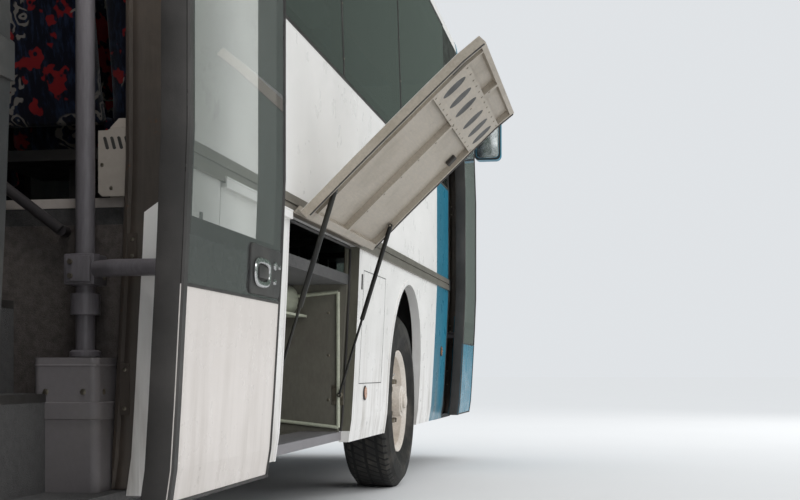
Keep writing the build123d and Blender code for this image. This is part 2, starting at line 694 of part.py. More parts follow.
# Wheels: rim barrel, dished disc with hand holes and hub, turned about the axle line
rim_half = 115
flange, barrel_wall = 25, 12
disc_offset = 62
disc_thick = 14
hub_dia, front_hub_in, front_hub_out = 190, 60, 75
hand_holes, hand_hole_dia, hand_hole_pitch = 10, 52, 205
front_wheel_bore = spindle_dia + 1
rear_wheel_bore = stub_dia + 1


def rim_ring(centre_y, out, disc_y, dish_depth, hub_in, hub_out, bore):
    """One rim with its disc and hub, turned about the axle line at X = 0."""
    with BuildPart() as rim:
        with BuildSketch(Plane.YZ) as half:
            with BuildLine():
                barrel = rim_radius - flange
                Polyline((centre_y - rim_half, axle_z + rim_radius),
                         (centre_y - rim_half + 12, axle_z + rim_radius),
                         (centre_y - rim_half + 26, axle_z + barrel), (centre_y + rim_half - 26, axle_z + barrel),
                         (centre_y + rim_half - 12, axle_z + rim_radius), (centre_y + rim_half, axle_z + rim_radius),
                         (centre_y + rim_half, axle_z + rim_radius - 10),
                         (centre_y + rim_half - 22, axle_z + barrel - barrel_wall),
                         (centre_y - rim_half + 22, axle_z + barrel - barrel_wall),
                         (centre_y - rim_half, axle_z + rim_radius - 10), close=True)
            make_face()
            with BuildLine():
                y0, y1 = disc_y, disc_y + out * disc_thick
                dish = y0 - out * dish_depth
                Polyline((y0, axle_z + hub_dia / 2 - 5), (y1, axle_z + hub_dia / 2 - 5), (y1, axle_z + 150),
                         (dish + out * disc_thick, axle_z + barrel - 3), (dish, axle_z + barrel - 3),
                         (y0, axle_z + 146), close=True)
            make_face()
            with BuildLine():
                Polyline((disc_y - out * hub_in, axle_z + bore / 2), (disc_y + out * hub_out, axle_z + bore / 2),
                         (disc_y + out * hub_out, axle_z + hub_dia / 2),
                         (disc_y - out * hub_in, axle_z + hub_dia / 2), close=True)
            make_face()
        revolve(half.sketch, axis=Axis((0, 0, axle_z), (0, 1, 0)))
        with BuildSketch(Plane(origin=(0, disc_y - out * 90, axle_z), z_dir=(0, out, 0))) as holes:
            with PolarLocations(hand_hole_pitch, hand_holes):
                Circle(hand_hole_dia / 2)
        extrude(holes.sketch, amount=150, mode=Mode.SUBTRACT)
    return rim.part


def faceted_drum(stations):
    """A drum of flat facets about the axle line, from stations of Y and radius."""
    with BuildPart() as drum:
        for pair in zip(stations, stations[1:]):
            ends = []
            for y, radius in pair:
                with BuildSketch(Plane(origin=(0, y, axle_z), x_dir=(1, 0, 0), z_dir=(0, 1, 0))) as outline:
                    RegularPolygon(radius, tyre_facets)
                ends.append(outline.sketch)
            loft(ends, ruled=True)
    return drum.part


def tyre_ring():
    """One tyre about the axle line at X = 0, centred on Y = 0."""
    half, bead = tyre_width / 2, rim_half - 30
    bead_radius = (rim_radius - flange + touch) / cos(pi / tyre_facets)
    outside = [(half, tyre_bulge), (half - 9, tyre_shoulder), (half - 43, tyre_radius)]
    inside = [(half, tyre_bulge), (bead, bead_radius)]
    with BuildPart() as tyre:
        add(faceted_drum([(-y, r) for y, r in outside] + list(reversed(outside))))
        add(faceted_drum([(-y, r) for y, r in inside] + list(reversed(inside))), mode=Mode.SUBTRACT)
    return tyre.part


tyre_solid = tyre_ring()
for side_name, side in sides.items():
    front_disc_y = side * (wheel_y + disc_offset)
    with BuildPart() as front_rim:
        add(rim_ring(side * wheel_y, side, front_disc_y, 60, front_hub_in, front_hub_out, front_wheel_bore))
    front_rim.part.label = f"front_rim_{side_name}"
    export_step(front_rim.part.moved(row_origin), f"parts/front_rim_{side_name}.step")

    with BuildPart() as front_tyre:
        add(tyre_solid.moved(Location((0, side * wheel_y, 0))))
    front_tyre.part.label = f"front_tyre_{side_name}"
    export_step(front_tyre.part.moved(row_origin), f"parts/front_tyre_{side_name}.step")

    # Twin rear wheels: the two discs are bolted back to back on one hub
    twin_y = side * (wheel_y - twin_pitch)
    with BuildPart() as rear_rim:
        with Locations((rear_axle_x, 0, 0)):
            add(rim_ring(side * wheel_y, -side, side * (wheel_y - twin_pitch / 2 + disc_thick), 90, 150, disc_thick,
                         rear_wheel_bore))
            add(rim_ring(twin_y, side, side * (wheel_y - twin_pitch / 2 - disc_thick), 90, 60, disc_thick,
                         rear_wheel_bore))
    rear_rim.part.label = f"rear_rims_{side_name}"
    export_step(rear_rim.part.moved(row_origin), f"parts/rear_rims_{side_name}.step")

    with BuildPart() as rear_tyre:
        for y in (side * wheel_y, twin_y):
            add(tyre_solid.moved(Location((rear_axle_x, y, 0))))
    rear_tyre.part.label = f"rear_tyres_{side_name}"
    export_step(rear_tyre.part.moved(row_origin), f"parts/rear_tyres_{side_name}.step")

# Heavy masses under the floor
between_rails = rail_y - rail_wide / 2 - touch
with BuildPart() as engine_block:
    bar(*engine_box[:2], -between_rails, between_rails, engine_box[2], upper_rail_top - 90 - touch)
engine_block.part.label = "engine_block"
export_step(engine_block.part.moved(row_origin), "parts/engine_block.step")

with BuildPart() as fuel_tank:
    with BuildSketch(Plane.YZ.offset(tank_box[0])) as tank_face:
        with Locations((0, (tank_box[2] + tank_box[3]) / 2)):
            RectangleRounded(2 * between_rails, tank_box[3] - tank_box[2], tank_corner)
    extrude(tank_face.sketch, amount=tank_box[1] - tank_box[0])
fuel_tank.part.label = "fuel_tank"
export_step(fuel_tank.part.moved(row_origin), "parts/fuel_tank.step")

# Doors: leaves, panes and the swinging arms on their columns
pivot_down = -(travel_out + half_width - 2 - leaf_thick - pivot_inboard_of_leaf) - column_y
pivot_ahead = (travel_forward ** 2 + travel_out ** 2 + 2 * travel_out * pivot_down) / (2 * travel_forward)
arm_radius = hypot(pivot_ahead, pivot_down)
open_angle = atan2(pivot_down, pivot_ahead)
shut_angle = -atan2(-(pivot_down + travel_out), pivot_ahead - travel_forward)
front_rest_angle = -(pi - asin(-(pivot_down + travel_out - front_door_out) / arm_radius))
rest_angles = {"mid": open_angle, "front": front_rest_angle}
elbow = [(-71, -114), (-71, -294)]
eye_dia, eye_high, door_pin_dia = 50, 56, 20
lug_thick, lug_clear = 12, 2
column_top = 2520
head_high, head_behind, head_ahead, head_into_nose = 90, 160, 120, 31
rail_low_z, rail_top_z, header_z = 1085, 2270, 2450


def turned(point, angle):
    """A plan offset turned about the column."""
    x, y = point
    return (x * cos(angle) - y * sin(angle), x * sin(angle) + y * cos(angle))


for door, (x0, x1) in doors.items():
    column_x = x1 + column_from_jamb
    angle = rest_angles[door]
    pivot = (column_x + arm_radius * cos(angle), column_y + arm_radius * sin(angle))
    shift_x = arm_radius * (cos(angle) - cos(shut_angle))
    shift_y = arm_radius * (sin(angle) - sin(shut_angle))
    leaf_x0, leaf_x1 = x0 + leaf_gap + shift_x, x1 - leaf_gap + shift_x
    skin_out = 2 + shift_y
    leaf_top = door_top - leaf_gap
    face = -half_width + skin_out

    with BuildPart() as leaf:
        along_x(wall_outline(-1, leaf_bottom, leaf_top, skin_out, leaf_thick), leaf_x0, leaf_x1)
        prism(Plane.XY.offset(leaf_bottom - 9), [(leaf_x1, face), (leaf_x1 + 40, face), (leaf_x1 + 40, face + 220),
              (leaf_x1 - leaf_bevel * 220 / leaf_thick, face + 220)], leaf_top - leaf_bottom + 20, Mode.SUBTRACT)
        along_x(wall_outline(-1, leaf_glass_z, leaf_top - 30, skin_out - 20, pane + 20), leaf_x0 + 14, leaf_x1 - 14,
                Mode.SUBTRACT)
        for z0, z1 in ((rail_low_z, rail_top_z), (header_z, leaf_top - leaf_frame)):
            bar(leaf_x0 + leaf_frame, leaf_x1 - leaf_frame - leaf_bevel, face - 50, face + 150, z0, z1, Mode.SUBTRACT)
        for z in arm_heights:
            inner = face + lean(z) + leaf_thick
            for step in (-1, 1):
                zc = z + step * (eye_high / 2 + lug_clear + lug_thick / 2)
                bar(pivot[0] - 26, pivot[0] + 26, inner - 4, pivot[1] + 22, zc - lug_thick / 2, zc + lug_thick / 2)
            reach = eye_high / 2 + lug_clear + lug_thick
            rod((*pivot, z - reach), (*pivot, z + reach), door_pin_dia)
    leaf.part.label = f"{door}_door_leaf"
    export_step(leaf.part.moved(row_origin), f"parts/{door}_door_leaf.step")

    with BuildPart() as leaf_pane:
        along_x(wall_outline(-1, leaf_glass_z + touch, leaf_top - 30 - touch, skin_out, pane),
                leaf_x0 + 14 + touch, leaf_x1 - 14 - touch)
    leaf_pane.part.label = f"{door}_door_pane"
    export_step(leaf_pane.part.moved(row_origin), f"parts/{door}_door_pane.step")

    with BuildPart() as arm:
        rod((column_x, column_y, cover_top + 2), (column_x, column_y, column_top), column_dia)
        rod((column_x, column_y, 862), (column_x, column_y, 922), 84)
        for z in arm_heights:
            turn = angle - open_angle
            elbows = [turned(p, turn) for p in elbow]
            plan = [(column_x, column_y)] + [(column_x + px, column_y + py) for px, py in elbows] + [pivot]
            tube_path([(x, y, z) for x, y in plan], 45, arm_dia)
            rod((*pivot, z - eye_high / 2), (*pivot, z + eye_high / 2), eye_dia)
            rod((*pivot, z - eye_high), (*pivot, z + eye_high), door_pin_dia + 1, Mode.SUBTRACT)
            rod((column_x, column_y, z - 46), (column_x, column_y, z + 46), column_dia + 26)
    arm.part.label = f"{door}_door_arm"
    export_step(arm.part.moved(row_origin), f"parts/{door}_door_arm.step")

# Covers under the door columns, and the housings that hold their top ends
with BuildPart() as door_covers:
    for door, (x0, x1) in doors.items():
        column_x = x1 + column_from_jamb
        with BuildSketch(Plane.XY.offset(step_top + touch)) as cover_plan:
            with Locations((column_x - cover_aft, column_y + cover_shift)):
                RectangleRounded(cover_wide, cover_deep, cover_corner)
        extrude(cover_plan.sketch, amount=cover_top - step_top - touch)
        head_top = column_top + head_high
        head_front = min(column_x + head_ahead, front_mask_start + head_into_nose)
        wall_face = -(half_width - lean(head_top) - wall - touch)
        leaf_inner = -(half_width - 2 - lean(head_top) - leaf_thick - leaf_gap)
        bar(column_x - head_behind, head_front, leaf_inner, column_y + 80, column_top + touch, head_top)
        bar(x1 + leaf_gap, head_front, wall_face, leaf_inner, column_top + touch, head_top)
door_covers.part.label = "door_covers"
export_step(door_covers.part.moved(row_origin), "parts/door_covers.step")

# Luggage flaps, modelled shut and, on the open one, turned up about the hinge
flap_rib, flap_web = 34, 14
flap_skin = 8
flap_band = (446, 637)
flap_band_thick = 8
flap_gutter = 90
flap_hole_z, flap_hole = 541, (85, 120)
flap_hole_offsets = (210, 400, 585, 850, 1040, 1214)
barrel_dia = 9
upper_pin_dia = 8.4


def flap_panel(side, x0, x1, pins):
    """One shut flap with its ribbed inner side, its hinge bead and any strut pins."""
    with BuildPart() as flap:
        along_x(wall_outline(side, flap_bottom, flap_top, 0, flap_thick), x0 + flap_gap, x1 - flap_gap)
        middle = (x0 + x1) / 2
        pockets = [(x0 + flap_gap + flap_rib, x0 + flap_gutter), (x0 + flap_gutter + flap_web, middle - flap_rib / 2),
                   (middle + flap_rib / 2, x1 - flap_gap - flap_rib)]
        for a, b in pockets:
            along_x(wall_outline(side, flap_bottom + flap_lip, flap_top - flap_rib, flap_skin, flap_thick), a, b,
                    Mode.SUBTRACT)
        for a, b in pockets[1:]:
            along_x(wall_outline(side, *flap_band, flap_thick - flap_band_thick, flap_band_thick), a, b)
        inner = half_width - lean(flap_band[0]) - flap_thick
        with BuildSketch(side_view_plane(side * (inner - 5))) as holes:
            with Locations(*((x0 + d, flap_hole_z) for d in flap_hole_offsets if x0 + d < x1 - flap_hole[0])):
                Ellipse(flap_hole[0] / 2, flap_hole[1] / 2)
        extrude(holes.sketch, amount=-side * (flap_thick - flap_skin - 8), mode=Mode.SUBTRACT)
        bead_y = (half_width + hinge_out - 2, half_width + hinge_out + 2)
        bar(x0 + flap_gap, x1 - flap_gap, side * (half_width - 6), side * bead_y[1], flap_top - 16, flap_top - 2)
        bar(x0 + flap_gap, x1 - flap_gap, side * bead_y[0], side * bead_y[1], flap_top - 9, hinge_z)
        rod((x0 + flap_gap, side * (half_width + hinge_out), hinge_z),
            (x1 - flap_gap, side * (half_width + hinge_out), hinge_z), barrel_dia)
        pin_y, pin_z = side * (half_width + hinge_out - strut_top_off), hinge_z - strut_top_down
        for x, inward in ((x0, 1), (x1, -1)) if pins else ():
            rod((x + inward * (flap_gap + 20), pin_y, pin_z), (x + inward * (strut_inset + 12), pin_y, pin_z),
                upper_pin_dia)
    return flap.part


hinge_lines = {name: Axis((0, side * (half_width + hinge_out), hinge_z), (1, 0, 0)) for name, side in sides.items()}
for side_name, side in sides.items():
    for flap_name, (x0, x1) in flaps.items():
        is_open = side_name == "right" and flap_name == "a"
        shut = flap_panel(side, x0, x1, is_open)
        with BuildPart() as flap:
            add(shut.rotate(hinge_lines[side_name], -flap_angle) if is_open else shut)
        flap.part.label = f"luggage_flap_{side_name}_{flap_name}"
        export_step(flap.part.moved(row_origin), f"parts/luggage_flap_{side_name}_{flap_name}.step")

# Struts of the open flap: tube on the flap, rod towards the foot on the jamb
hinge_y = -(half_width + hinge_out)
swing = radians(-flap_angle)
top_shut = (strut_top_off, -strut_top_down)
top_open = turned(top_shut, swing)
strut_top = (hinge_y + top_open[0], hinge_z + top_open[1])
strut_foot = (across(-1, strut_foot_in), strut_foot_z)
run_open = hypot(strut_foot[0] - strut_top[0], strut_foot[1] - strut_top[1])
run_shut = hypot(strut_foot[0] - hinge_y - top_shut[0], strut_foot[1] - hinge_z - top_shut[1])
strut_xs = (flap_a_rear + strut_inset, flap_a_front - strut_inset)
foot_dir = ((strut_foot[0] - strut_top[0]) / run_open, (strut_foot[1] - strut_top[1]) / run_open)


def on_strut(x, distance):
    """A point on a strut's line, measured down from its upper ball."""
    return (x, strut_top[0] + foot_dir[0] * distance, strut_top[1] + foot_dir[1] * distance)


with BuildPart() as strut_tubes:
    for x in strut_xs:
        rod(on_strut(x, 8), on_strut(x, strut_tube_length), strut_tube_dia)
        rod(on_strut(x, 20), on_strut(x, strut_tube_length + 5), strut_rod_dia + 1, Mode.SUBTRACT)
        rod((x - 10, *strut_top), (x + 10, *strut_top), 20)
        rod((x - 30, *strut_top), (x + 30, *strut_top), 9, Mode.SUBTRACT)
strut_tubes.part.label = "strut_tubes"
export_step(strut_tubes.part.moved(row_origin), "parts/strut_tubes.step")

with BuildPart() as strut_rods:
    for x in strut_xs:
        rod(on_strut(x, run_open - run_shut + 60 + (run_open - strut_tube_length - 360)), on_strut(x, run_open - 8),
            strut_rod_dia)
        rod((x - 8, *strut_foot), (x + 8, *strut_foot), 20)
        rod((x - 30, *strut_foot), (x + 30, *strut_foot), 11, Mode.SUBTRACT)
strut_rods.part.label = "strut_rods"
export_step(strut_rods.part.moved(row_origin), "parts/strut_rods.step")

# Passenger seats: pedestals, cushions and backs in pairs along both sides
base_deep, base_high, back_deep, recline = 430, 130, 120, 12


for side_name, side in sides.items():
    xs = right_seats_x if side_name == "right" else left_seats_x
    y_wall = across(side, wall + seat_wall_gap)
    y_aisle = y_wall - side * seat_width
    plane = side_view_plane(max(y_wall, y_aisle))
    rise = tanr(recline)
    top = seat_back_top - seat_height
    z0 = deck_top + seat_height
    with BuildPart() as seat_cushions:
        for x in xs:
            base = [(x, z0 - base_high), (x + base_deep, z0 - base_high + 25), (x + base_deep + 12, z0 - 20),
                    (x + base_deep - 10, z0 + 12), (x + 10, z0)]
            back = [(x - back_deep, z0 - base_high), (x - touch, z0 - base_high), (x - touch, z0 + 30),
                    (x - rise * top, z0 + top - 30), (x - rise * top - 30, z0 + top),
                    (x - rise * top - 70, z0 + top), (x - rise * top - 92, z0 + top - 40)]
            prism(plane, base, seat_width)
            prism(plane, back, seat_width)
    seat_cushions.part.label = f"seat_cushions_{side_name}"
    export_step(seat_cushions.part.moved(row_origin), f"parts/seat_cushions_{side_name}.step")

    with BuildPart() as seat_frames:
        for x in xs:
            low = z0 - base_high - touch
            bar(x - 40, x + base_deep - 20, y_wall, y_aisle, low - 40, low)
            for dx in (60, base_deep - 120):
                over_house = any(abs(x + dx + 20 - a) < h + 20 for a, h in zip(axles_x, house_halves))
                foot = (house_top if over_house else deck_top) + touch
                bar(x + dx, x + dx + 40, y_aisle + side * 240, y_aisle + side * 300, foot, low - 40)
            bar(x - 40, x + base_deep - 20, y_aisle - side * 34, y_aisle - side * touch, low - 40, z0 + 200)
    seat_frames.part.label = f"seat_frames_{side_name}"
    export_step(seat_frames.part.moved(row_origin), f"parts/seat_frames_{side_name}.step")

# Overhead racks along both sides
with BuildPart() as overhead_racks:
    for side in (-1, 1):
        wall_y = half_width - lean(rack_low) - wall - touch
        wall_top = half_width - lean(rack_low + 260) - wall - touch
        section = [(wall_y, rack_low), (wall_y - rack_depth + 60, rack_low - 20),
                   (wall_y - rack_depth, rack_low + 40), (wall_y - rack_depth, rack_low + 110),
                   (wall_y - rack_depth + 18, rack_low + 110),
                   (wall_y - rack_depth + 18, rack_low + 50), (wall_y - rack_depth + 66, rack_low - 2),
                   (wall_y - 20, rack_low + 18), (wall_top - 20, rack_low + 260), (wall_top, rack_low + 260)]
        along_x([(side * y, z) for y, z in section], rear_mask_start + 40, 1500 if side > 0 else 1650)
overhead_racks.part.label = "overhead_racks"
export_step(overhead_racks.part.moved(row_origin), "parts/overhead_racks.step")

# Driver's place: dashboard, seat and steering wheel
dash_top, dash_rear = 1230, 2280
driver_y, driver_x = 620, 1480
wheel_centre = (2170, driver_y, 1330)
wheel_tilt = 62
steer_dir = (cosr(wheel_tilt), 0, -sinr(wheel_tilt))
hub = Vector(*wheel_centre)
steer_shaft, steer_reach = 42, 290
steer_ring, steer_grip = 235, 15
with BuildPart() as dashboard:
    profile = [(dash_rear + 60, cab_floor_top + touch), (front_end - 240, cab_floor_top + touch),
               (front_end - 110, dash_top - 40), (front_end - 150, dash_top), (dash_rear + 120, dash_top),
               (dash_rear, dash_top - 110)]
    prism(side_view_plane(1080), profile, 1500)
    rod(hub, hub + Vector(*steer_dir) * (steer_reach + 5), steer_shaft + 1, Mode.SUBTRACT)
dashboard.part.label = "dashboard"
export_step(dashboard.part.moved(row_origin), "parts/dashboard.step")

with BuildPart() as driver_seat:
    z0 = cab_floor_top + 460
    bar(driver_x - 40, driver_x + 300, driver_y - 130, driver_y + 130, cab_floor_top + touch, z0 - 100)
    profile = [(driver_x - 110, z0 - 120), (driver_x + 430, z0 - 110), (driver_x + 450, z0 - 20),
               (driver_x + 60, z0 - 10), (driver_x - 60, z0 + 640), (driver_x - 140, z0 + 640)]
    prism(side_view_plane(driver_y + 250), profile, 500)
driver_seat.part.label = "driver_seat"
export_step(driver_seat.part.moved(row_origin), "parts/driver_seat.step")

with BuildPart() as steering_wheel:
    down = Vector(*steer_dir)
    with BuildSketch(Plane(origin=hub + Vector(0, steer_ring, 0), z_dir=down.cross(Vector(0, 1, 0)))) as grip:
        RegularPolygon(steer_grip, 8)
    revolve(grip.sketch, axis=Axis(hub, steer_dir))
    rod(hub - down * 12, hub + down * 30, 120)
    for turn in (90, 210, 330):
        spoke = Vector(0, 1, 0).rotate(Axis((0, 0, 0), steer_dir), turn)
        with BuildSketch(Plane(origin=hub + spoke * 30 + down * 8, x_dir=down, z_dir=spoke)) as spoke_end:
            Rectangle(14, 30)
        extrude(spoke_end.sketch, amount=steer_ring - 36)
    rod(hub, hub + down * steer_reach, steer_shaft)
steering_wheel.part.label = "steering_wheel"
export_step(steering_wheel.part.moved(row_origin), "parts/steering_wheel.step")

# Front wall of the mid well with its cap, the slotted panel, the post and the stair handrail
well_wall_x = mid_well[1] + touch
well_wall_thick, cap_high = 30, 28
slot_panel_wide, slot_panel_high, slot_panel_thick, slot_panel_cut = 150, 232, 18, 26
panel_slot, panel_slot_pitch, panel_slot_turn = (96, 13), 34, 24
rail_dia, rail_off = 34, 38
post_x, post_y, post_high = well_wall_x + 16, -545, 900
stair_rail = [(post_x, post_y, 1383), (well_wall_x - rail_off, post_y, 1383), (well_wall_x - rail_off, -908, 1112),
              (well_wall_x + 4, -908, 1112)]
with BuildPart() as mid_well_trim:
    wall_low_y = -(half_width - lean(skirt_z) - wall - touch)
    wall_top_y = -(half_width - lean(deck_top) - wall - touch)
    bar(well_wall_x, well_wall_x + well_wall_thick, wall_low_y, -well_inner, step_top + 60, deck_low - touch)
    bar(well_wall_x - 2, well_wall_x + well_wall_thick + 4, wall_top_y, -well_inner, deck_top + touch,
        deck_top + cap_high)
    panel_y, panel_z = wall_top_y + slot_panel_wide / 2, deck_top + cap_high + slot_panel_high / 2
    with BuildSketch(Plane.YZ.offset(well_wall_x)) as slot_panel:
        with Locations((panel_y, panel_z)):
            Rectangle(slot_panel_wide, slot_panel_high)
        chamfer([v for v in slot_panel.vertices() if v.Y > panel_z], slot_panel_cut)
        with Locations((panel_y, panel_z)):
            with GridLocations(0, panel_slot_pitch, 1, 5):
                SlotOverall(*panel_slot, rotation=panel_slot_turn, mode=Mode.SUBTRACT)
    extrude(slot_panel.sketch, amount=slot_panel_thick)
    rod((post_x, post_y, deck_top + cap_high / 2), (post_x, post_y, deck_top + post_high), rail_dia)
    for a, b in zip(stair_rail, stair_rail[1:]):
        rod(a, b, rail_dia - 2)
mid_well_trim.part.label = "mid_well_trim"
export_step(mid_well_trim.part.moved(row_origin), "parts/mid_well_trim.step")

# Mirrors on arms from the top corners of the nose
with BuildPart() as mirrors:
    for side in (-1, 1):
        root = (front_end - 230, side * 1085, 3130)
        rod(root, (3040, side * 1420, 3130), 32)
        rod((3040, side * 1420, 3146), (3040, side * 1420, 2900), 32)
        with BuildSketch(Plane.YZ.offset(2995)) as head:
            with Locations((side * 1420, 2710)):
                RectangleRounded(225, 435, 45)
        extrude(head.sketch, amount=95)
    add(nose_outer, mode=Mode.SUBTRACT)
mirrors.part.label = "mirrors"
export_step(mirrors.part.moved(row_origin), "parts/mirrors.step")

# Side marker lamps on the fixed panels
marker_places = [(-1220, 590), (1520, 850), (-5250, 850), (-7400, 850)]
with BuildPart() as side_markers:
    for side in (-1, 1):
        for x, z in marker_places:
            outer = half_width - lean(z)
            disc(x, side * (outer + 8), side * (outer - 20), z, 62)
        along_x(wall_outline(side, skirt_z, waist_z, 0, wall), rear_mask_start, front_mask_start, Mode.SUBTRACT)
side_markers.part.label = "side_markers"
export_step(side_markers.part.moved(row_origin), "parts/side_markers.step")

# Wipers parked along the foot of the windscreen
wiper_z = 1160
with BuildPart() as wipers:
    for y0, y1 in ((880, 60), (-40, -860)):
        rod((front_end + 16, y0 + 6, wiper_z), (front_end + 16, y1, wiper_z + 150), 14)
        rod((front_end + touch, y0, wiper_z), (front_end + 24, y0, wiper_z), 40)
wipers.part.label = "wipers"
export_step(wipers.part.moved(row_origin), "parts/wipers.step")
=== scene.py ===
import logging
import math
from dataclasses import dataclass, field
from enum import Enum

import bmesh
import bpy
from mathutils import Matrix, Vector


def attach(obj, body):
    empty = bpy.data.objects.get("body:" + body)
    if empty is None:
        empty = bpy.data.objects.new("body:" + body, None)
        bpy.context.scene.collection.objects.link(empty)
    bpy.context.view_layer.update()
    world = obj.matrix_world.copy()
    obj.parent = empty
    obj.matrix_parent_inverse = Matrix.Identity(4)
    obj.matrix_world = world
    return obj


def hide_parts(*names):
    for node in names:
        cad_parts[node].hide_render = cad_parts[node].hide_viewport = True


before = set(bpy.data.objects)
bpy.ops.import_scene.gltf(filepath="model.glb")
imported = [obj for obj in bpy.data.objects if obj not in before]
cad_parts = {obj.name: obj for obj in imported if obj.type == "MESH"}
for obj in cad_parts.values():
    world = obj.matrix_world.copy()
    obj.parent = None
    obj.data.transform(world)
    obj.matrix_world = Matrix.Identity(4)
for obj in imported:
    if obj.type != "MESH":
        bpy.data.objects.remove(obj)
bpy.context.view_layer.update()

log = logging.getLogger("coach")

Colour = tuple[float, float, float]
Point = tuple[float, float, float]

# Coach coordinates (X from the front axle, Y from the centreline) to the row frame
ROW = Vector((3.025, 0.200, 0.0))
HALF_WIDTH = 1.250
SIDE_LEAN = ((0.350, 0.058), (0.460, 0.042), (0.620, 0.032), (0.900, 0.017), (1.040, 0.010),
             (1.300, 0.0), (2.070, 0.0), (3.300, 0.040))
SILL_Z = 2.070
RAIL_LOW, RAIL_HIGH, RAIL_PROUD = 1.309, 1.392, 0.012
BLUE_FROM_X = 1.180
SEAT_PITCH = 0.780
WHITE = (0.815, 0.795, 0.765)
BLUE = (0.022, 0.190, 0.285)


class Side(Enum):
    """The two sides of the coach, as the sign of Y."""

    RIGHT = -1
    LEFT = 1


def srgb(red: int, green: int, blue: int) -> Colour:
    """A screen colour as linear light.

    Args:
        red, green, blue: Channels from 0 to 255.

    Returns:
        The same colour in linear values.
    """
    return tuple(c / 12.92 if c <= 0.04045 else ((c + 0.055) / 1.055) ** 2.4
                 for c in (red / 255, green / 255, blue / 255))


def row(x: float, y: float, z: float) -> Vector:
    """A point given in coach coordinates, in the row frame."""
    return Vector((x, y, z)) + ROW


def lean(z: float) -> float:
    """Inset of the outer skin at a height.

    Args:
        z: Height.

    Returns:
        Distance inside the widest part of the body.
    """
    for (z0, i0), (z1, i1) in zip(SIDE_LEAN, SIDE_LEAN[1:]):
        if z0 <= z <= z1:
            return i0 + (i1 - i0) * (z - z0) / (z1 - z0)
    return SIDE_LEAN[0][1] if z < SIDE_LEAN[0][0] else SIDE_LEAN[-1][1]


def heights(low: float, high: float) -> list[float]:
    """The heights at which the side bends, with both ends."""
    return [low] + [z for z, _ in SIDE_LEAN if low < z < high] + [high]


def skin(side: Side, x: float, z: float, proud: float = 0.0) -> Vector:
    """A point on the outer skin of one side.

    Args:
        side: Which side.
        x: Place along the coach.
        z: Height.
        proud: Distance outside the skin.

    Returns:
        The point in the row frame.
    """
    return row(x, side.value * (HALF_WIDTH - lean(z) + proud), z)


# Finishes


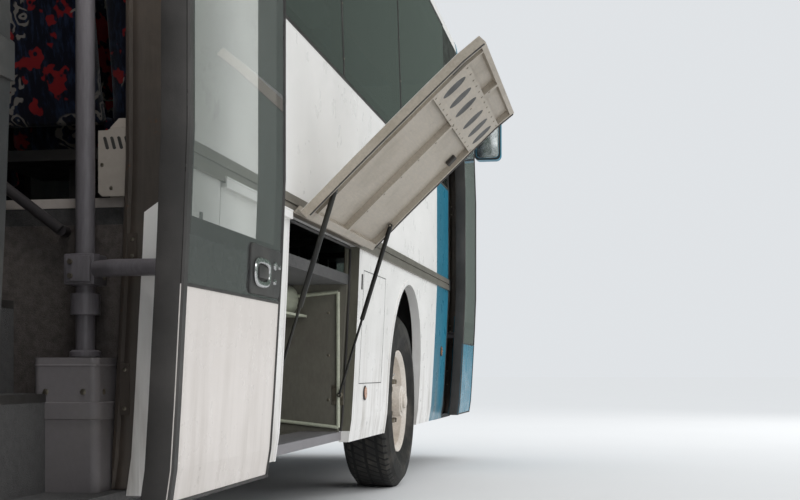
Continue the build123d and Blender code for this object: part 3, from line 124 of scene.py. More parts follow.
class Wiring:
    """The node tree of one material, with its shader and Object coordinates."""

    def __init__(self, name: str) -> None:
        """Starts a tree with one principled shader.

        Args:
            name: Name of the material.
        """
        self.material = bpy.data.materials.new(name)
        self.material.use_nodes = True
        self.tree = self.material.node_tree
        self.tree.nodes.clear()
        self.shader = self.add("ShaderNodeBsdfPrincipled")
        out = self.add("ShaderNodeOutputMaterial")
        self.join(self.shader.outputs["BSDF"], out.inputs["Surface"])
        self.place = self.add("ShaderNodeTexCoord").outputs["Object"]

    def add(self, kind: str, **settings: object) -> bpy.types.Node:
        """A new node with these settings.

        Args:
            kind: Type of the node.
            **settings: Properties to set on it.

        Returns:
            The node.
        """
        node = self.tree.nodes.new(kind)
        for key, value in settings.items():
            setattr(node, key, value)
        return node

    def join(self, source: bpy.types.NodeSocket, target: bpy.types.NodeSocket) -> None:
        """Links two sockets."""
        self.tree.links.new(source, target)

    def feed(self, socket: bpy.types.NodeSocket, value: object) -> None:
        """Links a socket, or sets its constant.

        Args:
            socket: The input.
            value: A socket, a colour or a number.
        """
        if isinstance(value, bpy.types.NodeSocket):
            self.join(value, socket)
        elif isinstance(value, tuple) and socket.type == "RGBA":
            socket.default_value = (*value, 1.0)
        else:
            socket.default_value = value

    def shade(self, **values: object) -> None:
        """Feeds shader sockets; an underscore stands for a blank in their names."""
        for key, value in values.items():
            self.feed(self.shader.inputs[key.replace("_", " ")], value)

    def stretched(self, scale: Point) -> bpy.types.NodeSocket:
        """Object coordinates scaled along each axis.

        Args:
            scale: Scale along X, Y and Z.

        Returns:
            The vector's socket.
        """
        mapping = self.add("ShaderNodeMapping")
        self.join(self.place, mapping.inputs["Vector"])
        mapping.inputs["Scale"].default_value = scale
        return mapping.outputs["Vector"]

    def noise(self, scale: float, detail: float = 3.0, rough: float = 0.55,
              stretch: Point = (1, 1, 1)) -> bpy.types.NodeSocket:
        """A cloudy value from 0 to 1.

        Args:
            scale: Clouds per metre.
            detail: Octaves.
            rough: Weight of the finer octaves.
            stretch: Scale along each axis.

        Returns:
            The value's socket.
        """
        node = self.add("ShaderNodeTexNoise")
        self.join(self.stretched(stretch), node.inputs["Vector"])
        self.feed(node.inputs["Scale"], scale)
        self.feed(node.inputs["Detail"], detail)
        self.feed(node.inputs["Roughness"], rough)
        return node.outputs["Fac"]

    def cells(self, scale: float) -> bpy.types.NodeSocket:
        """Distance to the nearest of scattered points.

        Args:
            scale: Points per metre.

        Returns:
            The distance's socket.
        """
        node = self.add("ShaderNodeTexVoronoi", feature="F1")
        self.join(self.place, node.inputs["Vector"])
        self.feed(node.inputs["Scale"], scale)
        return node.outputs["Distance"]

    def waves(self, scale: float, axis: str) -> bpy.types.NodeSocket:
        """Even bands along one axis.

        Args:
            scale: Bands per metre, roughly.
            axis: X, Y or Z.

        Returns:
            The value's socket, from 0 to 1.
        """
        node = self.add("ShaderNodeTexWave", bands_direction=axis)
        self.join(self.place, node.inputs["Vector"])
        self.feed(node.inputs["Scale"], scale)
        return node.outputs["Fac"]

    def axis(self, letter: str) -> bpy.types.NodeSocket:
        """One Object coordinate.

        Args:
            letter: X, Y or Z.

        Returns:
            The coordinate's socket.
        """
        split = self.add("ShaderNodeSeparateXYZ")
        self.join(self.place, split.inputs["Vector"])
        return split.outputs[letter]

    def span(self, value: bpy.types.NodeSocket, low: float, high: float,
             start: float = 0.0, end: float = 1.0) -> bpy.types.NodeSocket:
        """A value from low to high, brought smoothly to start to end.

        Args:
            value: The value's socket.
            low, high: Range of the value.
            start, end: Range that it is brought to.

        Returns:
            The new value's socket.
        """
        node = self.add("ShaderNodeMapRange", interpolation_type="SMOOTHSTEP")
        self.join(value, node.inputs["Value"])
        for key, number in (("From Min", low), ("From Max", high), ("To Min", start), ("To Max", end)):
            self.feed(node.inputs[key], number)
        return node.outputs["Result"]

    def maths(self, operation: str, first: object, second: object = 0.0) -> bpy.types.NodeSocket:
        """One sum.

        Args:
            operation: Blender's name of the sum.
            first, second: Sockets or numbers.

        Returns:
            The result's socket.
        """
        node = self.add("ShaderNodeMath", operation=operation)
        self.feed(node.inputs[0], first)
        self.feed(node.inputs[1], second)
        return node.outputs[0]

    def blend(self, share: object, first: object, second: object) -> bpy.types.NodeSocket:
        """A colour between two.

        Args:
            share: Share of the second colour.
            first, second: Sockets or colours.

        Returns:
            The colour's socket.
        """
        node = self.add("ShaderNodeMix", data_type="RGBA")
        self.feed(node.inputs["Factor"], share)
        self.feed(node.inputs[6], first)
        self.feed(node.inputs[7], second)
        return node.outputs[2]

    def relief(self, height: bpy.types.NodeSocket, depth: float, strength: float = 1.0) -> None:
        """Bumps the surface by a height value.

        Args:
            height: The value's socket.
            depth: Height of the relief, in metres.
            strength: Strength of the bump.
        """
        node = self.add("ShaderNodeBump")
        self.feed(node.inputs["Strength"], strength)
        self.feed(node.inputs["Distance"], depth)
        self.join(height, node.inputs["Height"])
        self.join(node.outputs["Normal"], self.shader.inputs["Normal"])


@dataclass(frozen=True)
class Finish:
    """A surface finish, made once and shared by the pieces that wear it."""

    name: str
    colour: Colour
    rough: float = 0.5

    def material(self) -> bpy.types.Material:
        """The finish's material, made at its first use.

        Returns:
            The material.
        """
        found = bpy.data.materials.get(self.name)
        if found is None:
            wiring = Wiring(self.name)
            self.wire(wiring)
            found = wiring.material
            found.diffuse_color = (*self.colour, 1.0)
        return found

    def wire(self, w: Wiring) -> None:
        """Wires the nodes."""
        raise NotImplementedError


@dataclass(frozen=True)
class BodyPaint(Finish):
    """Weathered coach paint, with a second colour ahead of a line, a dark band above one, and road dirt."""

    front: Colour | None = None
    front_from: float = 0.0
    band_from: float | None = None
    band: Colour = (0.028, 0.025, 0.024)
    dirt: float = 0.6
    rust: float = 0.25

    def wire(self, w: Wiring) -> None:
        """Paint layers, from the base coat to rust.

        Args:
            w: The material's nodes.
        """
        cloud = w.noise(1.3, 4)
        pale = tuple(min(1.0, c * 1.03) for c in self.colour)
        dull = tuple(c * 0.93 for c in self.colour)
        base = w.blend(w.span(cloud, 0.3, 0.7), dull, pale)
        if self.front:
            deep = tuple(c * 0.82 for c in self.front)
            there = w.maths("GREATER_THAN", w.axis("X"), self.front_from + ROW.x)
            base = w.blend(there, base, w.blend(w.span(cloud, 0.35, 0.65), deep, self.front))
        if self.band_from is not None:
            above = w.maths("GREATER_THAN", w.axis("Z"), self.band_from)
            base = w.blend(above, base, self.band)
        low = w.span(w.axis("Z"), 1.15, 0.30)
        streak = w.span(w.noise(3.0, 5, 0.62, (5.0, 5.0, 0.5)), 0.38, 0.78)
        dusty = w.maths("MULTIPLY", w.maths("MULTIPLY", low, streak), self.dirt)
        base = w.blend(dusty, base, (0.235, 0.195, 0.150))
        specks = w.span(w.noise(70.0, 4, 0.6), 0.69, 0.75, 0.0, self.rust)
        spots = w.maths("MULTIPLY", specks, w.span(w.noise(2.2, 2), 0.50, 0.66))
        base = w.blend(spots, base, (0.150, 0.055, 0.018))
        w.shade(Base_Color=base, Roughness=w.span(w.noise(9.0, 4), 0.25, 0.8, self.rough, self.rough + 0.2),
                Specular_IOR_Level=0.10, Coat_Weight=0.08, Coat_Roughness=0.12)
        w.relief(w.noise(7.0, 3), 0.0008, 0.12)


@dataclass(frozen=True)
class Metal(Finish):
    """Bare, brushed or painted metal with scratches along one axis, grime and some rust."""

    metallic: float = 1.0
    brush: Point = (1.0, 40.0, 40.0)
    grime: float = 0.4
    rust: float = 0.1
    grime_colour: Colour = (0.090, 0.075, 0.060)

    def wire(self, w: Wiring) -> None:
        """Brush lines, grime and rust.

        Args:
            w: The material's nodes.
        """
        lines = w.noise(14.0, 5, 0.7, self.brush)
        dark = tuple(c * 0.80 for c in self.colour)
        base = w.blend(w.span(lines, 0.3, 0.7), dark, self.colour)
        grime = w.span(w.noise(3.5, 6, 0.65), 0.42, 0.78, 0.0, self.grime)
        base = w.blend(grime, base, self.grime_colour)
        rusty = w.span(w.noise(17.0, 7, 0.72), 0.60, 0.72, 0.0, self.rust)
        base = w.blend(rusty, base, (0.160, 0.062, 0.022))
        shine = w.span(w.noise(3.5, 6, 0.65), 0.42, 0.9, self.metallic, self.metallic * 0.55)
        w.shade(Base_Color=base, Metallic=shine,
                Roughness=w.span(lines, 0.2, 0.8, self.rough, min(1.0, self.rough + 0.22)))
        w.relief(lines, 0.0005, 0.4)


@dataclass(frozen=True)
class Plastic(Finish):
    """Moulded plastic or rubber with a fine grain and dust."""

    grain: float = 420.0
    depth: float = 0.0006
    dust: float = 0.25
    dust_colour: Colour = (0.230, 0.205, 0.175)

    def wire(self, w: Wiring) -> None:
        """Grain and dust.

        Args:
            w: The material's nodes.
        """
        patch = w.span(w.noise(5.0, 5, 0.6), 0.35, 0.8, 0.0, self.dust)
        shade = w.blend(w.noise(60.0, 2), tuple(c * 0.85 for c in self.colour), self.colour)
        w.shade(Base_Color=w.blend(patch, shade, self.dust_colour),
                Roughness=w.span(w.noise(20.0, 3), 0.3, 0.7, self.rough, min(1.0, self.rough + 0.15)))
        w.relief(w.noise(self.grain, 3), self.depth, 0.5)


@dataclass(frozen=True)
class Glass(Finish):
    """Tinted pane with a film of dust, which on the door pane is partly painted reflection."""

    clear: float = 0.9
    dust: float = 0.10

    def wire(self, w: Wiring) -> None:
        """Tint and a dust film, partly painted reflection on the door pane.

        Args:
            w: The material's nodes.
        """
        dust_and_reflection = w.span(w.noise(2.5, 5, 0.6), 0.45, 0.85, 0.0, self.dust)
        w.shade(Base_Color=w.blend(dust_and_reflection, self.colour, (0.50, 0.50, 0.46)),
                Roughness=self.rough, Transmission_Weight=self.clear, IOR=1.48)


@dataclass(frozen=True)
class Lens(Finish):
    """Coloured lamp lens with fine ribs."""

    ribs: float = 60.0

    def wire(self, w: Wiring) -> None:
        """Ribs and tint.

        Args:
            w: The material's nodes.
        """
        ribs = w.waves(self.ribs, "Z")
        w.shade(Base_Color=w.blend(ribs, tuple(c * 0.75 for c in self.colour), self.colour),
                Roughness=self.rough, Coat_Weight=0.6, Transmission_Weight=0.25)
        w.relief(ribs, 0.002, 0.5)


@dataclass(frozen=True)
class Carpet(Finish):
    """Short pile carpet on walls and floor."""

    def wire(self, w: Wiring) -> None:
        """Pile, mottling and trodden dust.

        Args:
            w: The material's nodes.
        """
        pile = w.noise(260.0, 3, 0.7)
        mottle = w.blend(w.span(w.noise(38.0, 5, 0.7), 0.3, 0.7), tuple(c * 0.6 for c in self.colour),
                         self.colour)
        dust = w.span(w.noise(4.0, 4), 0.5, 0.8, 0.0, 0.25)
        w.shade(Base_Color=w.blend(dust, mottle, tuple(c * 1.8 for c in self.colour)), Roughness=self.rough,
                Sheen_Weight=0.15)
        w.relief(pile, 0.004, 0.8)


@dataclass(frozen=True)
class WellTrim(Finish):
    """The stair well's wall, told by place: carpet, a pale cap, the beige slotted panel and dark rails."""

    cap: Colour = srgb(172, 163, 156)
    panel: Colour = srgb(170, 160, 150)
    rail: Colour = srgb(52, 49, 50)
    cap_z: tuple[float, float] = (1.1795, 1.2085)
    panel_y: float = -1.036
    wall_x: float = -4.1072

    def wire(self, w: Wiring) -> None:
        """Picks the colour from the place.

        Args:
            w: The material's nodes.
        """
        pile = w.noise(260.0, 3, 0.7)
        carpet = w.blend(w.span(w.noise(38.0, 5, 0.7), 0.3, 0.7), tuple(c * 0.6 for c in self.colour),
                         self.colour)
        capped = w.maths("GREATER_THAN", w.axis("Z"), self.cap_z[0])
        above = w.maths("GREATER_THAN", w.axis("Z"), self.cap_z[1])
        inboard = w.maths("GREATER_THAN", w.axis("Y"), self.panel_y + ROW.y)
        off_wall = w.maths("LESS_THAN", w.axis("X"), self.wall_x + ROW.x)
        bar = w.maths("MAXIMUM", w.maths("MULTIPLY", above, inboard), off_wall)
        dust = w.span(w.noise(9.0, 5, 0.65), 0.45, 0.8, 0.0, 0.3)
        hard = w.maths("MAXIMUM", capped, off_wall)
        base = w.blend(capped, carpet, self.cap)
        base = w.blend(above, base, self.panel)
        base = w.blend(bar, base, self.rail)
        w.shade(Base_Color=w.blend(dust, base, (0.12, 0.105, 0.09)),
                Roughness=w.span(hard, 0, 1, self.rough, 0.42))
        w.relief(w.maths("MULTIPLY", pile, w.maths("SUBTRACT", 1.0, hard)), 0.004, 0.8)


@dataclass(frozen=True)
class LampGlass(Finish):
    """Lamp lenses: clear at the front, and clear, red and amber from the bottom up at the back."""

    red: Colour = (0.42, 0.012, 0.010)
    amber: Colour = (0.72, 0.200, 0.020)
    steps: tuple[float, float] = (1.145, 1.335)

    def wire(self, w: Wiring) -> None:
        """Picks the lens colour from the place.

        Args:
            w: The material's nodes.
        """
        behind = w.maths("LESS_THAN", w.axis("X"), 0.0)
        middle = w.maths("MULTIPLY", behind, w.maths("GREATER_THAN", w.axis("Z"), self.steps[0]))
        upper = w.maths("MULTIPLY", behind, w.maths("GREATER_THAN", w.axis("Z"), self.steps[1]))
        ribs = w.waves(38.0, "Y")
        base = w.blend(upper, w.blend(middle, self.colour, self.red), self.amber)
        w.shade(Base_Color=w.blend(w.span(ribs, 0, 1, 0.0, 0.3), base, (0.30, 0.30, 0.30)),
                Roughness=self.rough,
                Coat_Weight=0.7, Metallic=w.span(w.maths("SUBTRACT", 1.0, behind), 0, 1, 0.0, 0.75))
        w.relief(ribs, 0.002, 0.5)


@dataclass(frozen=True)
class SeatCloth(Finish):
    """Moquette with scattered curled shapes in red, pale and blue over a dark ground."""

    def wire(self, w: Wiring) -> None:
        """Curls, leaves and weave.

        Args:
            w: The material's nodes.
        """
        leaves = w.span(w.noise(7.5, 3, 0.62), 0.56, 0.585)
        vein = w.span(w.cells(16.0), 0.10, 0.16)
        curls = w.maths("SINE", w.maths("ADD", w.maths("MULTIPLY", w.noise(13.0, 2, 0.5), 34.0),
                                        w.maths("MULTIPLY", w.cells(9.0), 18.0)))
        patch = w.span(w.noise(5.0, 2, 0.5, (1.0, 1.3, 0.8)), 0.47, 0.44)
        inside = w.span(w.cells(6.0), 0.50, 0.44)
        cream = w.maths("MULTIPLY", w.span(curls, 0.15, 0.45), w.maths("MULTIPLY", patch, inside))
        streak = w.span(w.noise(16.0, 4, 0.7, (1.0, 3.6, 1.0)), 0.46, 0.66, 0.0, 0.75)
        base = w.blend(streak, self.colour, (0.030, 0.050, 0.110))
        base = w.blend(w.maths("MULTIPLY", leaves, vein), base, (0.360, 0.020, 0.024))
        base = w.blend(cream, base, (0.330, 0.300, 0.270))
        w.shade(Base_Color=base, Roughness=self.rough, Sheen_Weight=0.35, Sheen_Roughness=0.4)
        weave = w.maths("ADD", w.waves(170.0, "Y"), w.waves(170.0, "Z"))
        w.relief(weave, 0.0012, 0.5)


@dataclass(frozen=True)
class TyreRubber(Finish):
    """Tyre rubber with rings on the wall, dried mud and painted shade in the tread grooves."""

    axle: float = 0.520
    base: float = 6.150
    lugs: float = 66.0

    def wire(self, w: Wiring) -> None:
        """Tread blocks and grooves on the crown, the grooves darkened as painted shade, rings on the wall,
        and mud.

        Args:
            w: The material's nodes.
        """
        front = w.maths("GREATER_THAN", w.axis("X"), ROW.x - 3.0)
        centre = w.maths("ADD", w.maths("MULTIPLY", front, self.base), ROW.x - self.base)
        dx = w.maths("SUBTRACT", w.axis("X"), centre)
        dz = w.maths("SUBTRACT", w.axis("Z"), self.axle)
        radius = w.maths("SQRT", w.maths("ADD", w.maths("MULTIPLY", dx, dx), w.maths("MULTIPLY", dz, dz)))
        turn = w.maths("MULTIPLY", w.maths("ARCTAN2", dz, dx), self.lugs)
        slant = w.maths("ADD", turn, w.maths("MULTIPLY", w.axis("Y"), 75.0))
        sipes = w.span(w.maths("SINE", slant), -0.75, -0.45)
        grooves = w.span(w.waves(4.4, "Y"), 0.10, 0.24)
        crown = w.span(radius, 0.494, 0.506)
        tread = w.maths("MULTIPLY", crown, w.maths("MULTIPLY", sipes, grooves))
        rings = w.span(w.maths("SINE", w.maths("MULTIPLY", radius, 420.0)), 0.55, 0.9, 0.0, 0.25)
        wall = w.maths("MULTIPLY", w.maths("SUBTRACT", 1.0, crown),
                       w.maths("MULTIPLY", rings, w.span(radius, 0.44, 0.43)))
        mud = w.span(w.noise(7.0, 6, 0.65), 0.40, 0.75, 0.0, 0.55)
        worn = w.blend(mud, self.colour, (0.120, 0.105, 0.085))
        # Painted shade: the crown's grooves between the tread blocks are darkened to near black.
        deep = w.maths("MULTIPLY", crown, w.maths("SUBTRACT", 1.0, w.maths("MULTIPLY", sipes, grooves)))
        w.shade(Base_Color=w.blend(deep, worn, (0.006, 0.006, 0.006)), Roughness=self.rough)
        grain = w.maths("MULTIPLY", w.noise(140.0, 4, 0.7), 0.08)
        w.relief(w.maths("ADD", w.maths("ADD", tread, wall), grain), 0.008, 0.9)


@dataclass(frozen=True)
class Ground(Finish):
    """The plain studio floor."""

    def wire(self, w: Wiring) -> None:
        """A pale floor with very faint mottling."""
        w.shade(Base_Color=w.blend(w.noise(0.8, 2), self.colour, tuple(c * 0.97 for c in self.colour)),
                Roughness=self.rough, Specular_IOR_Level=0.0, IOR=1.0)


class Kit:
    """Every finish of the coach."""

    BODY = BodyPaint("coach paint", WHITE, 0.25, front=BLUE, front_from=BLUE_FROM_X)
    UPPER = BodyPaint("upper paint", WHITE, 0.25, front=BLUE, front_from=BLUE_FROM_X, band_from=SILL_Z)
    WHITE = BodyPaint("white paint", WHITE, 0.25)
    NOSE = BodyPaint("nose paint", BLUE, 0.22, rust=0.1, dirt=0.4)
    LEAF = BodyPaint("door leaf paint", srgb(213, 206, 200), 0.22, band_from=0.913, rust=0.0, dirt=0.3)
    FRONT_LEAF = BodyPaint("front door leaf paint", BLUE, 0.22, band_from=0.913, rust=0.0, dirt=0.3)
    FLAP = Metal("bare flap panel", srgb(190, 180, 166), 0.42, metallic=0.35, brush=(1.0, 8.0, 8.0),
                 grime=0.42, rust=0.30, grime_colour=srgb(125, 112, 90))
    RAIL = Metal("worn waist rail", srgb(150, 143, 133), 0.38, metallic=0.7, brush=(0.6, 26.0, 26.0),
                 grime=0.55, rust=0.25)
    SILL = Metal("ribbed sill", srgb(165, 160, 164), 0.35, metallic=0.75, brush=(1.0, 20.0, 20.0), grime=0.35)
    BAY = Metal("bay sheet", srgb(118, 115, 104), 0.55, metallic=0.15, brush=(6.0, 6.0, 2.0), grime=0.5,
                rust=0.1)
    DUCT = Metal("painted duct", srgb(196, 199, 178), 0.45, metallic=0.0, brush=(0.5, 5.0, 5.0), grime=0.35)
    CHASSIS = Metal("chassis paint", (0.030, 0.030, 0.032), 0.6, metallic=0.1, brush=(4, 4, 4), grime=0.6,
                    rust=0.45)
    IRON = Metal("cast iron", (0.060, 0.056, 0.052), 0.65, metallic=0.4, brush=(6, 6, 6), grime=0.5, rust=0.5)
    COLUMN = Metal("column paint", srgb(132, 127, 131), 0.34, metallic=0.35, brush=(9.0, 9.0, 1.0), grime=0.2,
                   rust=0.03)
    STRUT = Metal("strut paint", (0.012, 0.012, 0.011), 0.28, metallic=0.2, brush=(8, 8, 2), grime=0.2,
                  rust=0.0, grime_colour=srgb(96, 92, 74))
    CHROME = Metal("chrome", (0.62, 0.62, 0.62), 0.12, metallic=1.0, brush=(8, 8, 8), grime=0.1, rust=0.02)
    STEEL = Metal("zinc screw", srgb(150, 142, 128), 0.32, metallic=0.9, brush=(5, 5, 5), grime=0.4, rust=0.5)
    WHEEL = Metal("wheel paint", srgb(226, 217, 206), 0.35, metallic=0.0, brush=(6, 6, 6), grime=0.45,
                  rust=0.25, grime_colour=srgb(140, 122, 100))
    JAMB = Metal("jamb trim", srgb(80, 72, 66), 0.40, metallic=0.25, brush=(10, 10, 1.2), grime=0.45,
                 rust=0.65, grime_colour=srgb(96, 84, 72))
    BAY_FRAME = Metal("bay jamb", srgb(112, 110, 96), 0.45, metallic=0.1, brush=(8, 8, 1.5), grime=0.5,
                      rust=0.25)
    RUBBER = Plastic("door rubber", (0.036, 0.033, 0.031), 0.5, grain=300.0, dust=0.35,
                     dust_colour=(0.130, 0.118, 0.110))
    BLACK = Plastic("black plastic", (0.024, 0.024, 0.025), 0.45)
    COVER = Plastic("cover shell", srgb(128, 123, 124), 0.42, grain=520.0, depth=0.001, dust=0.22)
    GREY = Plastic("grey plastic", srgb(150, 146, 140), 0.5)
    BEIGE = Plastic("beige panel", srgb(168, 159, 149), 0.48, dust=0.3)
    WELL = WellTrim("well trim", srgb(98, 91, 87), 0.95)
    FLOOR = Carpet("floor cover", srgb(72, 70, 69), 0.8)
    CLOTH = SeatCloth("seat moquette", (0.007, 0.008, 0.020), 0.9)
    TYRE = TyreRubber("tyre rubber", (0.020, 0.019, 0.018), 0.8)
    PANE = Glass("tinted pane", (0.17, 0.20, 0.18), 0.0, clear=0.93)
    SCREEN = Glass("windscreen pane", (0.66, 0.72, 0.70), 0.0, clear=0.95)
    # The door pane's pale tint and heavy dust film are partly painted reflection: they stand in for the pale
    # reflections on the door glass.
    DOOR_PANE = Glass("door pane", (0.86, 0.88, 0.86), 0.0, clear=0.94, dust=0.30)
    SHELL = BodyPaint("mirror shell", BLUE, 0.25, band_from=2.945, rust=0.0, dirt=0.0)
    MIRROR = Metal("mirror glass", (0.70, 0.72, 0.74), 0.03, metallic=1.0, brush=(1, 1, 1), grime=0.12,
                   rust=0.0)
    LENSES = LampGlass("lamp lenses", (0.72, 0.72, 0.70), 0.10)
    AMBER = Lens("amber lens", (0.80, 0.260, 0.035), 0.12)
    STUDIO = Ground("studio floor", (0.70, 0.70, 0.69), 0.85)


def dress(finish: Finish, *nodes: str) -> None:
    """Gives CAD nodes a finish.

    Args:
        finish: The finish.
        nodes: Names of the nodes.
    """
    for name in nodes:
        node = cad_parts[name]
        if not node.material_slots:
            node.data.materials.append(None)
        for slot in node.material_slots:
            slot.material = finish.material()
        log.info("dressed %s in %s", name, finish.name)


# Meshes


class Shape:
    """A mesh under construction, in metres in the row frame."""

    def __init__(self) -> None:
        """Starts empty."""
        self.bm = bmesh.new()

    def block(self, low: Vector, high: Vector, edge: float = 0.0, steps: int = 2) -> "Shape":
        """A block between two corners with rounded edges.

        Args:
            low, high: Corners, in any order.
            edge: Rounding radius.
            steps: Segments of the rounding.

        Returns:
            The shape itself.
        """
        centre, size = (low + high) / 2, high - low
        turn = Matrix.Translation(centre) @ Matrix.Diagonal((abs(size.x), abs(size.y), abs(size.z), 1.0))
        made = bmesh.ops.create_cube(self.bm, size=1.0, matrix=turn)["verts"]
        if edge:
            edges = {e for v in made for e in v.link_edges}
            bmesh.ops.bevel(self.bm, geom=list(edges), offset=edge, segments=steps, affect="EDGES",
                            profile=0.6)
        return self

    def prism(self, outline: list[Vector], run: Vector) -> "Shape":
        """A flat outline carried along a run, closed at both ends.

        Args:
            outline: Corners of the outline, in order.
            run: How far it is carried.

        Returns:
            The shape itself.
        """
        near = [self.bm.verts.new(p) for p in outline]
        far = [self.bm.verts.new(p + run) for p in outline]
        self.bm.faces.new(near)
        self.bm.faces.new(list(reversed(far)))
        for i in range(len(near)):
            j = (i + 1) % len(near)
            self.bm.faces.new((near[j], near[i], far[i], far[j]))
        return self

    def loft(self, rings: list[list[Vector]], closed: bool = False) -> "Shape":
        """Rings of points joined into a skin, with its ends capped unless it closes on itself.

        Args:
            rings: Rings with the same number of points.
            closed: True where the last ring joins the first.

        Returns:
            The shape itself.
        """
        made = [[self.bm.verts.new(p) for p in ring] for ring in rings]
        pairs = list(zip(made, made[1:])) + ([(made[-1], made[0])] if closed else [])
        for a, b in pairs:
            for i in range(len(a)):
                j = (i + 1) % len(a)
                self.bm.faces.new((a[i], a[j], b[j], b[i]))
        if not closed:
            self.bm.faces.new(list(reversed(made[0])))
            self.bm.faces.new(made[-1])
        return self

    def tube(self, path: list[Vector], radius: float, sides: int = 14) -> "Shape":
        """A round tube along points.

        Args:
            path: Points along the middle.
            radius: Radius.
            sides: Facets round.

        Returns:
            The shape itself.
        """
        rings = []
        side = Vector((0, 0, 1)) if abs((path[1] - path[0]).normalized().z) < 0.9 else Vector((1, 0, 0))
        for i, point in enumerate(path):
            ahead = path[min(i + 1, len(path) - 1)] - path[max(i - 1, 0)]
            across = ahead.cross(side).normalized()
            side = across.cross(ahead).normalized()
            rings.append([point + (across * math.cos(t) + side * math.sin(t)) * radius
                          for t in (2 * math.pi * k / sides for k in range(sides))])
        return self.loft(rings)

    def turned(self, profile: list[tuple[float, float]], centre: Vector, axis: Vector, sides: int = 32,
               ring: bool = False) -> "Shape":
        """A profile of (along, radius) turned about an axis.

        Args:
            profile: Points along the axis with their radius.
            centre: Origin of the profile.
            axis: Direction of the profile's first number.
            sides: Facets round.
            ring: True where the profile closes on itself and no end is capped.

        Returns:
            The shape itself.
        """
        along = axis.normalized()
        u = along.orthogonal().normalized()
        v = along.cross(u)
        rings = [[centre + along * a + (u * math.cos(t) + v * math.sin(t)) * max(r, 1e-4)
                  for t in (2 * math.pi * k / sides for k in range(sides))] for a, r in profile]
        return self.loft(rings, closed=ring)

    def move(self, matrix: Matrix) -> "Shape":
        """Carries everything made so far by a matrix."""
        bmesh.ops.transform(self.bm, matrix=matrix, verts=self.bm.verts)
        return self

    def mesh(self, name: str) -> bpy.types.Mesh:
        """The finished mesh, with normals outwards.

        Args:
            name: Name of the mesh.

        Returns:
            The mesh.
        """
        bmesh.ops.recalc_face_normals(self.bm, faces=self.bm.faces)
        mesh = bpy.data.meshes.new(name)
        self.bm.to_mesh(mesh)
        self.bm.free()
        return mesh


def place(name: str, mesh: bpy.types.Mesh, body: str, finish: Finish,
          smooth: float = 35.0) -> bpy.types.Object:
    """Puts a finished mesh in the scene as a piece.

    Args:
        name: Name of the piece.
        mesh: Its mesh, in the row frame.
        body: Body that carries it.
        finish: Its finish.
        smooth: Edges sharper than this many degrees stay hard.

    Returns:
        The piece.
    """
    piece = bpy.data.objects.new(name, mesh)
    bpy.context.scene.collection.objects.link(piece)
    mesh.materials.clear()
    mesh.materials.append(finish.material())
    mesh.shade_smooth()
    mesh.set_sharp_from_angle(angle=math.radians(smooth))
    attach(piece, body)
    log.info("%s on %s: %d faces", name, body, len(mesh.polygons))
    return piece


# Geometry Nodes for what repeats


class Pattern:
    """A Geometry Nodes tree that sets copies of one small shape, and turns them into a mesh."""

    def __init__(self, name: str, inputs: tuple[tuple[str, str], ...]) -> None:
        """Starts the tree with its named inputs.

        Args:
            name: Name of the tree.
            inputs: Name and type of each input.
        """
        self.tree = bpy.data.node_groups.new(name, "GeometryNodeTree")
        self.tree.interface.new_socket("Geometry", in_out="INPUT", socket_type="NodeSocketGeometry")
        self.tree.interface.new_socket("Geometry", in_out="OUTPUT", socket_type="NodeSocketGeometry")
        self.sockets = {label: self.tree.interface.new_socket(label, in_out="INPUT",
                                                              socket_type=kind).identifier
                        for label, kind in inputs}
        self.source = self.tree.nodes.new("NodeGroupInput")
        self.sink = self.tree.nodes.new("NodeGroupOutput")

    def add(self, kind: str, **settings: object) -> bpy.types.Node:
        """A new node with these settings.

        Args:
            kind: Type of the node.
            **settings: Properties to set on it.

        Returns:
            The node.
        """
        node = self.tree.nodes.new(kind)
        for key, value in settings.items():
            setattr(node, key, value)
        return node

    def join(self, source: bpy.types.NodeSocket, target: bpy.types.NodeSocket) -> None:
        """Links two sockets."""
        self.tree.links.new(source, target)

    def finish(self, copies: bpy.types.NodeSocket) -> None:
        """Ends the tree with real geometry in its material.

        Args:
            copies: The instances' socket.
        """
        real = self.add("GeometryNodeRealizeInstances")
        paint = self.add("GeometryNodeSetMaterial")
        self.join(copies, real.inputs["Geometry"])
        self.join(real.outputs["Geometry"], paint.inputs["Geometry"])
        self.join(self.source.outputs["Material"], paint.inputs["Material"])
        self.join(paint.outputs["Geometry"], self.sink.inputs["Geometry"])

    def run(self, name: str, base: bpy.types.Mesh, values: dict[str, object], body: str, finish: Finish,
            slot: str = "") -> bpy.types.Object:
        """Runs the tree on a base mesh and keeps the result as a piece.

        Args:
            name: Name of the piece.
            base: Mesh that the tree starts from.
            values: Values of the named inputs.
            body: Body that carries the piece.
            finish: Its finish.
            slot: Not used.

        Returns:
            The piece.
        """
        holder = bpy.data.objects.new(name + "_points", base)
        bpy.context.scene.collection.objects.link(holder)
        modifier = holder.modifiers.new("copies", "NODES")
        modifier.node_group = self.tree
        for label, value in {**values, "Material": finish.material()}.items():
            modifier[self.sockets[label]] = value
        holder.update_tag()
        graph = bpy.context.evaluated_depsgraph_get()
        mesh = bpy.data.meshes.new_from_object(holder.evaluated_get(graph), depsgraph=graph)
        mesh.name = name
        bpy.data.objects.remove(holder)
        if values.get("Shape"):
            bpy.data.objects.remove(values["Shape"])
        return place(name, mesh, body, finish)


